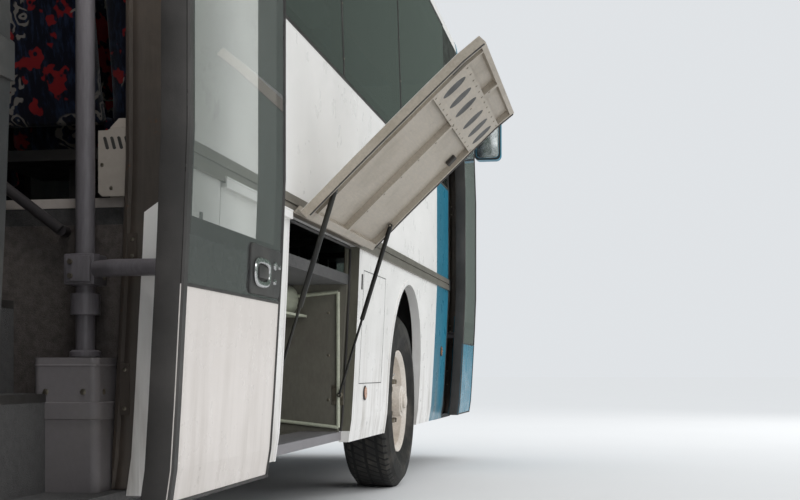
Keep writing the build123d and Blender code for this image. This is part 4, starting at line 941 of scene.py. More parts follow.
def facing_pattern() -> Pattern:
    """Copies on a mesh's points, each facing along the point's own direction and turned at random.

    Returns:
        The pattern.
    """
    p = Pattern("fixings",
                (("Shape", "NodeSocketObject"), ("Turn", "NodeSocketFloat"), ("Seed", "NodeSocketInt"),
                            ("Material", "NodeSocketMaterial")))
    info = p.add("GeometryNodeObjectInfo", transform_space="ORIGINAL")
    p.join(p.source.outputs["Shape"], info.inputs["Object"])
    facing = p.add("GeometryNodeInputNamedAttribute", data_type="FLOAT_VECTOR")
    facing.inputs["Name"].default_value = "facing"
    aim = p.add("FunctionNodeAlignRotationToVector", axis="Z")
    p.join(facing.outputs["Attribute"], aim.inputs["Vector"])
    chance = p.add("FunctionNodeRandomValue", data_type="FLOAT")
    p.join(p.source.outputs["Turn"], chance.inputs[3])
    p.join(p.source.outputs["Seed"], chance.inputs["Seed"])
    spin = p.add("ShaderNodeCombineXYZ")
    p.join(chance.outputs[1], spin.inputs["Z"])
    turned = p.add("FunctionNodeRotateRotation", rotation_space="LOCAL")
    p.join(aim.outputs["Rotation"], turned.inputs["Rotation"])
    p.join(spin.outputs["Vector"], turned.inputs["Rotate By"])
    copies = p.add("GeometryNodeInstanceOnPoints")
    p.join(p.source.outputs["Geometry"], copies.inputs["Points"])
    p.join(info.outputs["Geometry"], copies.inputs["Instance"])
    p.join(turned.outputs["Rotation"], copies.inputs["Rotation"])
    p.finish(copies.outputs["Instances"])
    return p


def line_pattern() -> Pattern:
    """Even copies of a shape from one point to another.

    Returns:
        The pattern.
    """
    p = Pattern("line of copies", (("Shape", "NodeSocketObject"), ("Start", "NodeSocketVector"),
                                   ("End", "NodeSocketVector"), ("Count", "NodeSocketInt"),
                                   ("Material", "NodeSocketMaterial")))
    info = p.add("GeometryNodeObjectInfo", transform_space="ORIGINAL")
    p.join(p.source.outputs["Shape"], info.inputs["Object"])
    line = p.add("GeometryNodeMeshLine", mode="END_POINTS")
    p.join(p.source.outputs["Count"], line.inputs["Count"])
    p.join(p.source.outputs["Start"], line.inputs["Start Location"])
    p.join(p.source.outputs["End"], line.inputs["Offset"])
    copies = p.add("GeometryNodeInstanceOnPoints")
    p.join(line.outputs["Mesh"], copies.inputs["Points"])
    p.join(info.outputs["Geometry"], copies.inputs["Instance"])
    p.finish(copies.outputs["Instances"])
    return p


FIXINGS = facing_pattern()
LINE = line_pattern()


def loose(mesh: bpy.types.Mesh) -> bpy.types.Object:
    """A mesh as an unlinked object, for a pattern's Shape."""
    return bpy.data.objects.new(mesh.name, mesh)


class Head(Enum):
    """Kinds of screw and bolt head, as facets round the head."""

    DOME = 12
    HEX = 6


def screw_head(kind: Head, radius: float, height: float) -> bpy.types.Object:
    """A head standing on the origin, along Z.

    Args:
        kind: Kind of head.
        radius: Its radius.
        height: Its height.

    Returns:
        The head, not linked to the scene.
    """
    shape = Shape()
    top = radius * (0.55 if kind is Head.DOME else 0.86)
    shape.turned([(-height * 0.3, radius), (height * 0.45, radius), (height, top)], Vector((0, 0, 0)),
                 Vector((0, 0, 1)), sides=kind.value)
    return loose(shape.mesh("head"))


def fixings(name: str, spots: list[tuple[Vector, Vector]], body: str, radius: float = 0.006,
            height: float = 0.003, kind: Head = Head.DOME) -> bpy.types.Object:
    """Screws or bolts at points.

    Args:
        name: Name of the piece.
        spots: Points with the direction that each head faces.
        body: Body that carries them.
        radius: Radius of a head.
        height: Height of a head.
        kind: Kind of head.

    Returns:
        The piece.
    """
    base = bpy.data.meshes.new(name + "_spots")
    base.from_pydata([tuple(p) for p, _ in spots], [], [])
    facing = base.attributes.new("facing", "FLOAT_VECTOR", "POINT")
    facing.data.foreach_set("vector", [c for _, d in spots for c in d.normalized()])
    values = {"Shape": screw_head(kind, radius, height), "Turn": math.tau, "Seed": 7}
    return FIXINGS.run(name, base, values, body, Kit.STEEL, "tray_metal")


def copies_along(name: str, shape: Shape, start: Vector, end: Vector, count: int, body: str,
                 finish: Finish, slot: str = "") -> bpy.types.Object:
    """Even copies of a shape modelled about the origin, from start to end."""
    values = {"Shape": loose(shape.mesh(name + "_one")), "Start": tuple(start), "End": tuple(end),
              "Count": count}
    return LINE.run(name, bpy.data.meshes.new(name + "_base"), values, body, finish, slot)


# Padding

PAD_VOXEL = 0.012
PAD_PRESSURE = 4.0
PAD_FRAMES = 20
PAD_KEPT_FACES = 0.22


def padded_block(size: Point, name: str, cap: float) -> bpy.types.Mesh:
    """A soft pad about the origin: a remeshed block blown up by cloth pressure.

    Args:
        size: Depth, width and height of the block before it swells.
        name: Name of the mesh.
        cap: How far a point may move outwards, in metres.

    Returns:
        The pad's mesh.
    """
    start = Shape().block(-Vector(size) / 2, Vector(size) / 2, min(size) * 0.30, 3).mesh(name)
    pad = bpy.data.objects.new(name, start)
    bpy.context.scene.collection.objects.link(pad)
    remesh = pad.modifiers.new("remesh", "REMESH")
    remesh.mode, remesh.voxel_size = "VOXEL", PAD_VOXEL
    graph = bpy.context.evaluated_depsgraph_get()
    mesh = bpy.data.meshes.new_from_object(pad.evaluated_get(graph), depsgraph=graph)
    pad.modifiers.remove(remesh)
    pad.data = mesh
    rest = [v.co.copy() for v in mesh.vertices]
    cloth = pad.modifiers.new("cloth", "CLOTH")
    cloth.settings.use_pressure = True
    cloth.settings.uniform_pressure_force = PAD_PRESSURE
    cloth.settings.effector_weights.gravity = 0.0
    cloth.settings.quality = 4
    cloth.point_cache.frame_start, cloth.point_cache.frame_end = 1, PAD_FRAMES
    for frame_number in range(1, PAD_FRAMES + 1):
        bpy.context.scene.frame_set(frame_number)
    graph = bpy.context.evaluated_depsgraph_get()
    blown = bpy.data.meshes.new_from_object(pad.evaluated_get(graph), depsgraph=graph)
    pad.modifiers.remove(cloth)
    for vertex, at in zip(blown.vertices, rest):
        shift = vertex.co - at
        if shift.length > cap:
            vertex.co = at + shift * (cap / shift.length)
    pad.data = blown
    thin = pad.modifiers.new("thin", "DECIMATE")
    thin.ratio = PAD_KEPT_FACES
    graph = bpy.context.evaluated_depsgraph_get()
    made = bpy.data.meshes.new_from_object(pad.evaluated_get(graph), depsgraph=graph)
    bpy.data.objects.remove(pad)
    bpy.context.scene.frame_set(1)
    log.info("%s: pad of %d faces", name, len(made.polygons))
    return made


def joined(name: str, spots: list[tuple[bpy.types.Mesh, Matrix]]) -> bpy.types.Mesh:
    """Copies of meshes carried by matrices, as one mesh.

    Args:
        name: Name of the mesh.
        spots: Each copy's mesh with its matrix.

    Returns:
        The mesh.
    """
    bm = bmesh.new()
    for mesh, matrix in spots:
        copy = mesh.copy()
        copy.transform(matrix)
        bm.from_mesh(copy)
        bpy.data.meshes.remove(copy)
    whole = bpy.data.meshes.new(name)
    bm.to_mesh(whole)
    bm.free()
    return whole


# Sub-assemblies


@dataclass
class Studio:
    """Pale floor, soft light, pale surroundings and the camera at the photograph's station."""

    eye: Vector = field(default_factory=lambda: Vector((-4.535, -2.306, 0.700)))
    heading: float = -80.13
    lens: float = 56.25
    rise: float = 0.152
    floor_z: float = -0.002
    floor_half: float = 160.0
    glow: float = 1.15

    def build(self) -> None:
        """Makes floor, light, world and camera."""
        bpy.context.scene.view_settings.view_transform = "Standard"
        self.floor()
        self.world()
        self.lights()
        self.camera()

    def floor(self) -> None:
        """The floor, which isn't part of the coach."""
        half, z = self.floor_half, self.floor_z
        mesh = bpy.data.meshes.new("floor")
        mesh.from_pydata([(-half, -half, z), (half, -half, z), (half, half, z), (-half, half, z)], [],
                         [(0, 1, 2, 3)])
        mesh.materials.append(Kit.STUDIO.material())
        floor = bpy.data.objects.new("floor", mesh)
        bpy.context.scene.collection.objects.link(floor)

    def world(self) -> None:
        """Pale surroundings for the eye and as light, with a dim room in what shines."""
        world = bpy.data.worlds.new("pale room")
        world.use_nodes = True
        tree = world.node_tree
        tree.nodes.clear()
        out = tree.nodes.new("ShaderNodeOutputWorld")
        path = tree.nodes.new("ShaderNodeLightPath")
        shades = []
        # Light on the coach, then what the camera, gloss and glass see
        for colour, strength in (((0.93, 0.96, 1.0), self.glow), ((0.745, 0.77, 0.795), 1.0),
                                 ((0.20, 0.25, 0.22), 0.8), ((0.10, 0.12, 0.11), 0.6)):
            shade = tree.nodes.new("ShaderNodeBackground")
            shade.inputs["Color"].default_value = (*colour, 1)
            shade.inputs["Strength"].default_value = strength
            shades.append(shade)
        last = shades[0]
        for ray, shade in zip(("Is Camera Ray", "Is Glossy Ray", "Is Transmission Ray"), shades[1:]):
            pick = tree.nodes.new("ShaderNodeMixShader")
            tree.links.new(path.outputs[ray], pick.inputs[0])
            tree.links.new(last.outputs[0], pick.inputs[1])
            tree.links.new(shade.outputs[0], pick.inputs[2])
            last = pick
        tree.links.new(last.outputs[0], out.inputs["Surface"])
        bpy.context.scene.world = world

    def lights(self) -> None:
        """Large soft lamps round the coach."""
        # Name, place, point aimed at, size, power, and whether it shows in gloss
        lamps = (("key", (-9.0, -11.0, 9.0), (-1.0, -1.0, 1.2), 7.0, 436, True),
                 ("fill", (2.0, 12.0, 8.0), (0.0, 1.0, 1.5), 9.0, 220, True),
                 ("nose", (12.0, -9.0, 6.0), (3.0, -1.0, 1.5), 6.0, 330, False),
                 ("tail", (-15.0, 2.0, 6.0), (-6.0, 0.0, 1.5), 6.0, 105, True),
                 ("well", (-1.62, -1.02, 2.42), (-1.60, -0.30, 1.1), 0.30, 7.0, False))
        for name, at, to, size, power, mirrored in lamps:
            data = bpy.data.lights.new(name, "AREA")
            data.shape, data.size, data.energy = "DISK", size, power
            lamp = bpy.data.objects.new(name, data)
            lamp.location = at
            lamp.visible_glossy = mirrored
            lamp.visible_camera = False
            lamp.rotation_euler = (Vector(to) - Vector(at)).to_track_quat("-Z", "Y").to_euler()
            bpy.context.scene.collection.objects.link(lamp)

    def camera(self) -> None:
        """The camera, level, with the frame shifted up."""
        data = bpy.data.cameras.new("camera")
        data.lens, data.sensor_width, data.shift_y = self.lens, 36.0, self.rise
        data.clip_start, data.clip_end = 0.05, 400.0
        camera = bpy.data.objects.new("camera", data)
        camera.location = self.eye
        camera.rotation_euler = (math.radians(90), 0, math.radians(self.heading))
        bpy.context.scene.collection.objects.link(camera)
        bpy.context.scene.camera = camera


@dataclass
class CoachBody:
    """Outer skin: paint, panel fixings, window strips and rail end caps."""

    body: str = "coach_body"
    right_joints: tuple[float, ...] = (-0.270, -1.860, -3.450, -6.550, -8.120)
    left_joints: tuple[float, ...] = (1.100, -0.270, -1.860, -3.450, -5.000, -6.550, -8.120)

    def build(self) -> None:
        """Dresses the skin and adds its trim."""
        dress(Kit.BODY, "lower_side_right", "lower_side_left")
        dress(Kit.UPPER, "upper_side_right", "upper_side_left")
        dress(Kit.WHITE, "roof_shell", "rear_mask", "rear_bumper", "engine_lid")
        dress(Kit.NOSE, "front_mask", "front_bumper")
        dress(Kit.RAIL, "waist_rails")
        dress(Kit.PANE, "side_windows", "rear_glass")
        dress(Kit.SCREEN, "windscreen")
        dress(Kit.BLACK, "wheelhouses", "wipers")
        dress(Kit.COVER, "door_covers")
        self.joints()
        self.joint_screws()
        self.rail_screws()
        self.rail_ends()

    def joints(self) -> None:
        """Rubber strips between the side panes, and along their feet and heads."""
        shape = Shape()
        for side, xs in ((Side.RIGHT, self.right_joints), (Side.LEFT, self.left_joints)):
            for x in xs:
                rings = [[skin(side, x + dx, z, p) for dx, p in ((-0.009, -0.002), (-0.006, 0.0025),
                                                                 (0.006, 0.0025), (0.009, -0.002))]
                         for z in (2.080, 2.5, 2.9, 3.290)]
                shape.loft(rings)
            for z in (SILL_Z - 0.004, 3.2975):
                spans = ((-8.87, -5.18), (-4.14, 1.74)) if side is Side.RIGHT else ((-8.87, 2.48),)
                for x0, x1 in spans:
                    rings = [[skin(side, x, z + dz, p) for dz, p in ((-0.009, -0.002), (-0.006, 0.003),
                                                                     (0.006, 0.003), (0.009, -0.002))]
                             for x in (x0, x1)]
                    shape.loft(rings)
        place("window_strips", shape.mesh("window_strips"), self.body, Kit.RUBBER)

    def joint_screws(self) -> None:
        """Screws down the pillar strips."""
        spots = []
        for side, xs in ((Side.RIGHT, self.right_joints), (Side.LEFT, self.left_joints)):
            facing = Vector((0, side.value, 0))
            for x in xs:
                spots += [(skin(side, x, z, 0.0025), facing) for z in (2.16, 2.42, 2.68, 2.94, 3.20)]
        fixings("pillar_screws", spots, self.body, 0.0055, 0.0022)

    def rail_screws(self) -> None:
        """Screws in the groove of the waist rail."""
        spots = []
        for side in Side:
            facing = Vector((0, side.value, 0))
            x, end, pitch = -8.7, 2.5, 0.31
            while x < end:
                if side is Side.LEFT or not (-5.14 < x < -4.18 or 1.76 < x):
                    spots.append((row(x, side.value * 1.2575, 1.352), facing))
                x += pitch
        fixings("rail_screws", spots, self.body, 0.0032, 0.0014)

    def rail_ends(self) -> None:
        """Dark caps on the ends of the waist rails beside the doorways."""
        shape = Shape()
        for x0, x1 in ((-5.200, -5.1215), (-4.1985, -4.140), (1.730, 1.7885)):
            ring = ((-0.001, RAIL_LOW - 0.0015), (RAIL_PROUD + 0.0015, RAIL_LOW - 0.0015),
                    (RAIL_PROUD + 0.0015, RAIL_HIGH - 0.004), (RAIL_PROUD - 0.004, RAIL_HIGH + 0.0015),
                    (-0.001, RAIL_HIGH + 0.0015))
            shape.loft([[row(x, -(HALF_WIDTH + out), z) for out, z in ring] for x in (x0, x1)])
        place("rail_ends", shape.mesh("ends"), self.body, Kit.BLACK)


@dataclass
class DoorFrame:
    """Dark trim round a doorway, its catch plates, and the fittings of the door's column."""

    prefix: str
    rear: float
    front: float
    rear_lap: float = 0.015
    turn: float = 0.0
    foot: float = 0.368
    top: float = 2.700
    deepest: float = 1.098
    head_low: float = 2.505
    head_deepest: float = 1.155
    body: str = "coach_body"

    @property
    def column(self) -> tuple[float, float]:
        """The column's place in plan."""
        return self.front + 0.009, -1.006

    def jamb(self, shape: Shape, x: float, ahead: int, slope: float, lap: float) -> None:
        """Trim down one jamb.

        Args:
            shape: Shape that it joins.
            x: The jamb's outer corner.
            ahead: Direction away from the doorway.
            slope: How far the jamb leans into the doorway.
            lap: Width of the trim on the outer skin.
        """
        bead = ((-0.0245, 0.080), (-0.025, 0.068), (-0.020, 0.058)) if slope else \
            ((-0.0245, 0.085), (-0.020, 0.078), (-0.005, 0.0745))
        plan = ((0.010, 0.0515), (0.010, 0.112), (-0.012, 0.1135), (-0.021, 0.108), (-0.024, 0.098),
                (-0.019, 0.089),
                *bead, (-0.0015 - slope, 0.050), (-0.0015, 0.002), (-0.001, -0.002), (0.003, -0.0035),
                (lap - 0.003, -0.0035), (lap, -0.001))
        rings = []
        levels = heights(self.foot, self.head_low - 0.005) + [self.head_low, self.top]
        for z in levels:
            limit = self.head_deepest if z >= self.head_low else self.deepest
            rings.append([row(x + ahead * dx, -max(HALF_WIDTH - lean(z) - deep, limit), z)
                          for dx, deep in plan])
        shape.loft(rings)

    def build(self) -> None:
        """Makes the trim, black on the rear jamb as painted shade, and the fittings."""
        shape = Shape()
        self.jamb(shape, self.front, 1, 0.0175, 0.015)
        # Painted shade: the rear jamb's trim and its lap on the skin are black, darker than the front jamb's
        # trim.
        rubber = Shape()
        self.jamb(rubber, self.rear, -1, 0.0, self.rear_lap)
        place(f"{self.prefix}_rear_jamb_rubber", rubber.mesh("rubber"), self.body, Kit.BLACK)
        head = ((-0.0035, 0.012), (-0.0035, 0.0), (0.002, -0.0015), (0.050, -0.0015), (0.086, -0.0015),
                (0.086, 0.010), (0.0515, 0.010))
        shape.loft([[row(x, -(HALF_WIDTH - lean(self.top) - deep), self.top + dz) for deep, dz in head]
                    for x in (self.rear, self.front)])
        place(f"{self.prefix}_doorway_trim", shape.mesh("trim"), self.body, Kit.JAMB)
        self.catches()
        self.clamps()
        self.cover_band()

    def catches(self) -> None:
        """Catch plates with their screws on the front jamb."""
        shape, spots = Shape(), []
        for low, high in ((0.578, 0.724), (1.007, 1.090), (1.960, 2.060)):
            y0, y1 = (-(HALF_WIDTH - lean(low) - deep) for deep in (0.062, 0.090))
            x = self.front - 0.0275
            shape.block(row(x - 0.0015, y0, low), row(x + 0.004, y1, high), 0.001, 1)
            spots += [(row(x - 0.0015, (y0 + y1) / 2, z), Vector((-1, 0, 0)))
                      for z in (low + 0.018, high - 0.018)]
        place(f"{self.prefix}_catch_plates", shape.mesh("plates"), self.body, Kit.JAMB)
        fixings(f"{self.prefix}_catch_screws", spots, self.body, 0.006, 0.0025)

    def clamps(self) -> None:
        """Clamps that hold the arms to the column, with their bolts."""
        arm = f"{self.prefix}_door_arm"
        about = Matrix.Translation(row(*self.column, 0)) @ Matrix.Rotation(self.turn, 4, "Z")
        shape, spots = Shape(), []
        for z in (0.990, 2.360):
            shape.block(Vector((-0.047, -0.047, z - 0.044)), Vector((0.047, 0.045, z + 0.044)), 0.006)
            shape.block(Vector((-0.062, -0.040, z - 0.036)), Vector((-0.045, 0.032, z + 0.036)), 0.003)
            for dz in (-0.020, 0.020):
                for at, facing in (((-0.062, 0.018, z + dz), (-1, 0, 0)),
                                   ((0.022, -0.047, z + dz), (0, -1, 0))):
                    spots.append((about @ Vector(at), about.to_3x3() @ Vector(facing)))
        shape.turned([(0.7425, 0.045), (0.756, 0.045), (0.762, 0.036), (0.762, 0.029), (0.7425, 0.029)],
                     Vector((0, 0, 0)), Vector((0, 0, 1)), 28, ring=True)
        shape.move(about)
        place(f"{self.prefix}_arm_clamps", shape.mesh("clamps"), arm, Kit.COLUMN)
        fixings(f"{self.prefix}_clamp_bolts", spots, arm, 0.0085, 0.006, Head.HEX)

    def cover_band(self) -> None:
        """Raised band, cap edge and bolts on the cover under the column."""
        x, y = self.column[0] - 0.020, self.column[1] + 0.008
        shape = Shape()
        for low, high, proud in ((0.566, 0.616, 0.0045), (0.713, 0.721, 0.002)):
            rings = []
            for z, out in ((low, 0.0), (low + 0.003, proud), (high - 0.003, proud), (high, 0.0)):
                ring = []
                for cx, cy, start in ((1, 1, 0), (-1, 1, 90), (-1, -1, 180), (1, -1, 270)):
                    for k in range(5):
                        a = math.radians(start + 22.5 * k)
                        ring.append(row(x + cx * 0.078 + (0.0218 + out) * math.cos(a),
                                        y + cy * 0.074 + (0.0218 + out) * math.sin(a), z))
                rings.append(ring)
            shape.loft(rings)
        place(f"{self.prefix}_cover_band", shape.mesh("band"), self.body, Kit.COVER)
        spots = [(row(x - 0.1003, y + dy, 0.644), Vector((-1, 0, 0))) for dy in (-0.055, 0.055)]
        spots += [(row(x + dx, y - 0.0963, 0.644), Vector((0, -1, 0))) for dx in (-0.055, 0.055)]
        fixings(f"{self.prefix}_cover_bolts", spots, self.body, 0.0085, 0.004)


@dataclass
class DoorLeaf:
    """A door leaf: painted foot, dark upper frame, pane and rubber edges."""

    prefix: str
    rear: float
    front: float
    outer: float
    finish: Finish
    bottom: float = 0.372
    top: float = 2.690
    front_top: float = 2.690
    thick: float = 0.066
    bevel: float = 0.030 / 0.066

    @property
    def body(self) -> str:
        """Body that carries the leaf."""
        return f"{self.prefix}_door_leaf"

    def face(self, x: float, z: float, proud: float = 0.0) -> Vector:
        """A point on the leaf's outer face."""
        return row(x, -(self.outer - lean(z) + proud), z)

    def build(self) -> None:
        """Dresses the leaf and adds its edges."""
        dress(self.finish, f"{self.prefix}_door_leaf")
        dress(Kit.DOOR_PANE, f"{self.prefix}_door_pane")
        dress(Kit.COLUMN, f"{self.prefix}_door_arm")
        self.edges()
        self.seam()

    def edges(self) -> None:
        """Thick rubber down the rear edge and a thin one down the front edge."""
        shape = Shape()
        for x, away, width, top in ((self.rear, -1, 0.040, self.top), (self.front, 1, 0.012, self.front_top)):
            bevel = self.bevel if away > 0 else 0.0
            plan = ((-width, 0.002), (-width * 0.9, -0.004), (-0.008, -0.005), (0.0, 0.002), (0.002, 0.012),
                    (0.002, self.thick - 0.009), (0.0, self.thick + 0.001), (-0.010, self.thick + 0.003),
                    (-width * 0.8, self.thick + 0.003), (-width, self.thick - 0.005))
            shape.loft([[row(x + away * dx - bevel * max(deep + lean(z), 0.0), -(self.outer - lean(z) - deep),
                             z)
                         for dx, deep in plan] for z in heights(self.bottom - 0.002, top)])
        place(f"{self.prefix}_door_edges", shape.mesh("edges"), self.body, Kit.RUBBER)

    def seam(self) -> None:
        """Seal between the painted foot and the pane, and along the foot."""
        shape = Shape()
        for z, half in ((0.914, 0.005), (self.bottom + 0.004, 0.006)):
            ring = [(-half, -0.002), (-half * 0.6, 0.003), (half * 0.6, 0.003), (half, -0.002)]
            shape.loft([[self.face(x, z + dz, p) for dz, p in ring]
                        for x in (self.rear + 0.01, self.front - 0.01)])
        place(f"{self.prefix}_door_seams", shape.mesh("seams"), self.body, Kit.RUBBER)


@dataclass
class MidDoor(DoorLeaf):
    """The middle door with its outside handle."""

    prefix: str = "mid"
    rear: float = -4.675
    front: float = -3.775
    outer: float = 1.483
    finish: Finish = Kit.LEAF

    def build(self) -> None:
        """Adds the handle to the leaf."""
        super().build()
        self.handle()

    def handle(self) -> None:
        """Black dish with a chrome ring handle and two lock cylinders."""
        shape = Shape()
        x0, x1, z0, z1 = -4.126, -3.807, 0.925, 1.070
        corner = 0.018
        outline = []
        for cx, cz, start in ((x1 - corner, z1 - corner, 0), (x0 + corner, z1 - corner, 90),
                              (x0 + corner, z0 + corner, 180), (x1 - corner, z0 + corner, 270)):
            outline += [(cx + corner * math.cos(math.radians(start + a)),
                         cz + corner * math.sin(math.radians(start + a)))
                        for a in (0, 30, 60, 90)]
        rings = [[self.face(cx * s + (x0 + x1) / 2 * (1 - s), cz * s + (z0 + z1) / 2 * (1 - s), p)
                  for cx, cz in outline]
                 for s, p in ((1.0, -0.002), (1.0, 0.004), (0.98, 0.0065))]
        shape.loft(rings)
        place("door_handle_dish", shape.mesh("dish"), self.body, Kit.BLACK)
        ring = Shape()
        centre, wide, tall = (-4.015, 0.990), 0.072, 0.034
        loop = []
        for k in range(28):
            a = math.tau * k / 28
            c, s = math.cos(a), math.sin(a)
            spot = self.face(centre[0] + wide * math.copysign(abs(c) ** 0.6, c),
                             centre[1] + tall * math.copysign(abs(s) ** 0.6, s), 0.010)
            outward = Vector((c, 0, s)).normalized()
            normal = Vector((0, -1, 0))
            loop.append([spot + (outward * math.cos(t) * 0.010 + normal * math.sin(t) * 0.006)
                         for t in (math.tau * j / 8 for j in range(8))])
        ring.loft(loop, closed=True)
        place("door_handle_ring", ring.mesh("ring"), self.body, Kit.CHROME)
        lever = Shape().block(self.face(-4.065, 0.972, 0.006), self.face(-3.965, 1.008, 0.015), 0.005)
        place("door_handle_lever", lever.mesh("lever"), self.body, Kit.BLACK)
        locks = Shape()
        for x, z, r in ((-3.880, 1.020, 0.013), (-3.880, 0.972, 0.010), (-3.835, 1.020, 0.008)):
            locks.turned([(0.0, r), (0.006, r), (0.010, r * 0.85), (0.0105, r * 0.5), (0.008, r * 0.45)],
                         self.face(x, z, 0.003), Vector((0, -1, 0)), 20)
        place("door_locks", locks.mesh("locks"), self.body, Kit.CHROME)


@dataclass
class FrontDoor(DoorLeaf):
    """The front door, part open."""

    prefix: str = "front"
    rear: float = 1.869
    front: float = 2.629
    outer: float = 1.363
    front_top: float = 2.480
    finish: Finish = Kit.FRONT_LEAF


@dataclass
class LuggageSide:
    """Luggage flaps, their struts and the bay behind them."""

    hinge: Vector = field(default_factory=lambda: row(0, -1.267, 1.322))
    angle: float = -136.5
    rear: float = -2.840
    front: float = -1.500

    def opened(self) -> Matrix:
        """Carries a point of the shut right flap to where it stands open."""
        return Matrix.Translation(self.hinge) @ Matrix.Rotation(math.radians(self.angle), 4, "X") \
            @ Matrix.Translation(-self.hinge)

    def build(self) -> None:
        """Dresses flaps, struts and bay."""
        dress(Kit.FLAP, "luggage_flap_right_a")
        dress(Kit.BODY, "luggage_flap_right_b", "luggage_flap_left_a", "luggage_flap_left_b")
        dress(Kit.STRUT, "strut_tubes", "strut_rods")
        dress(Kit.BAY, "luggage_bay")
        dress(Kit.DUCT, "bay_duct")
        self.outer_skin()
        self.seals()
        self.bay()

    def outer_skin(self) -> None:
        """White paint film over the outside of the open flap."""
        shape = Shape()
        rings = []
        for z in heights(0.354, 1.300):
            rings.append([skin(Side.RIGHT, x, z, p)
                          for x, p in ((self.rear + 0.003, 0.0002), (self.rear + 0.003, 0.001),
                                       (self.front - 0.003, 0.001), (self.front - 0.003, 0.0002))])
        shape.loft(rings).move(self.opened())
        place("flap_outer_paint", shape.mesh("paint"), "flap_right_a", Kit.WHITE)

    def seals(self) -> None:
        """Seal round the inner rim of the open flap."""
        shape = Shape()
        inset = 0.006
        for x0, x1 in ((self.rear + inset, self.rear + inset + 0.010),
                       (self.front - inset - 0.010, self.front - inset)):
            rings = [[skin(Side.RIGHT, x, z, -0.034 - d)
                      for x, d in ((x0, -0.001), (x1, -0.001), (x1, 0.004), (x0, 0.004))]
                     for z in heights(0.36, 1.29)]
            shape.loft(rings)
        shape.move(self.opened())
        place("flap_seal", shape.mesh("seal"), "flap_right_a", Kit.RUBBER)

    def bay(self) -> None:
        """Ribbed sill plate, and what stands round and in the bay."""
        rib = Shape()
        rib.block(Vector((-0.62, -0.003, -0.0005)), Vector((0.62, 0.003, 0.0035)), 0.0012, 1)
        copies_along("bay_sill_ribs", rib, row(-2.17, -1.138, 0.4018), row(-2.17, -0.965, 0.4018), 15,
                     "coach_body", Kit.SILL, "tray_metal")
        plate = Shape().block(row(-2.796, -1.150, 0.4002), row(-1.544, -0.955, 0.4012))
        plate.block(row(-2.836, -1.1545, 0.3605), row(-1.504, -1.1505, 0.4035), 0.001, 1)
        place("bay_sill_plate", plate.mesh("plate"), "coach_body", Kit.SILL)
        self.opening()
        self.front_wall()
        self.feet()
        self.fixed_panel()
        self.flap_fittings()

    def opening(self) -> None:
        """Grey sheet on the jambs of the open bay, and the rubber seal round it."""
        sheet, seal = Shape(), Shape()
        for x, inward in ((self.rear, 1), (self.front, -1)):
            plan = ((-0.004, 0.0505), (-0.004, 0.074), (0.004, 0.078), (0.011, 0.072), (0.010, 0.060),
                    (0.0003, 0.051), (0.0003, 0.0005), (-0.001, 0.0505))
            sheet.loft([[row(x + inward * dx, -(HALF_WIDTH - lean(z) - deep), z) for dx, deep in plan]
                        for z in heights(0.405, 1.318)])
            seal.tube([row(x + inward * 0.0045, -(HALF_WIDTH - lean(z) - 0.0465), z)
                       for z in heights(0.405, 1.305)],
                      0.0055, 10)
        seal.tube([row(x, -(HALF_WIDTH - lean(1.300) - 0.0485), 1.312)
                   for x in (self.rear + 0.01, self.front - 0.01)],
                  0.0065, 10)
        place("bay_jamb_sheets", sheet.mesh("sheets"), "coach_body", Kit.BAY_FRAME)
        place("bay_seal", seal.mesh("seal"), "coach_body", Kit.RUBBER)

    def front_wall(self) -> None:
        """Pale frame and fixings of the panel on the bay's front wall."""
        x = self.front - 0.040 - 0.007
        corners = ((-1.150, 0.425), (-1.150, 1.092), (-0.420, 1.030), (-0.420, 0.500))
        frame_shape = Shape()
        for (y0, z0), (y1, z1) in zip(corners, corners[1:] + corners[:1]):
            frame_shape.tube([row(x, y0, z0), row(x, y1, z1)], 0.009, 8)
        place("bay_panel_frame", frame_shape.mesh("frame"), "coach_body", Kit.DUCT)
        spots = [(row(x + 0.0068, y, z), Vector((-1, 0, 0))) for y in (-1.10, -0.80, -0.50)
                 for z in (0.56, 0.78, 0.99)]
        fixings("bay_panel_screws", spots, "coach_body", 0.007, 0.003)

    def feet(self) -> None:
        """Brackets at the feet of the struts."""
        shape, spots = Shape(), []
        for x, inward in ((self.rear + 0.040, 1), (self.front - 0.040, -1)):
            shape.block(row(x, -1.176, 0.536), row(x + inward * 0.004, -1.118, 0.634), 0.001, 1)
            shape.turned([(0.0, 0.014), (0.006, 0.014), (0.008, 0.011), (0.008, 0.007), (0.0, 0.007)],
                         row(x + inward * 0.004, -1.158, 0.585), Vector((inward, 0, 0)), 16, ring=True)
            spots += [(row(x + inward * 0.004, -1.158 + dy, z), Vector((inward, 0, 0)))
                      for dy in (-0.010, 0.026) for z in (0.548, 0.622)]
        place("strut_brackets", shape.mesh("brackets"), "coach_body", Kit.STEEL)
        fixings("strut_bracket_screws", spots, "coach_body", 0.006, 0.003, Head.HEX)

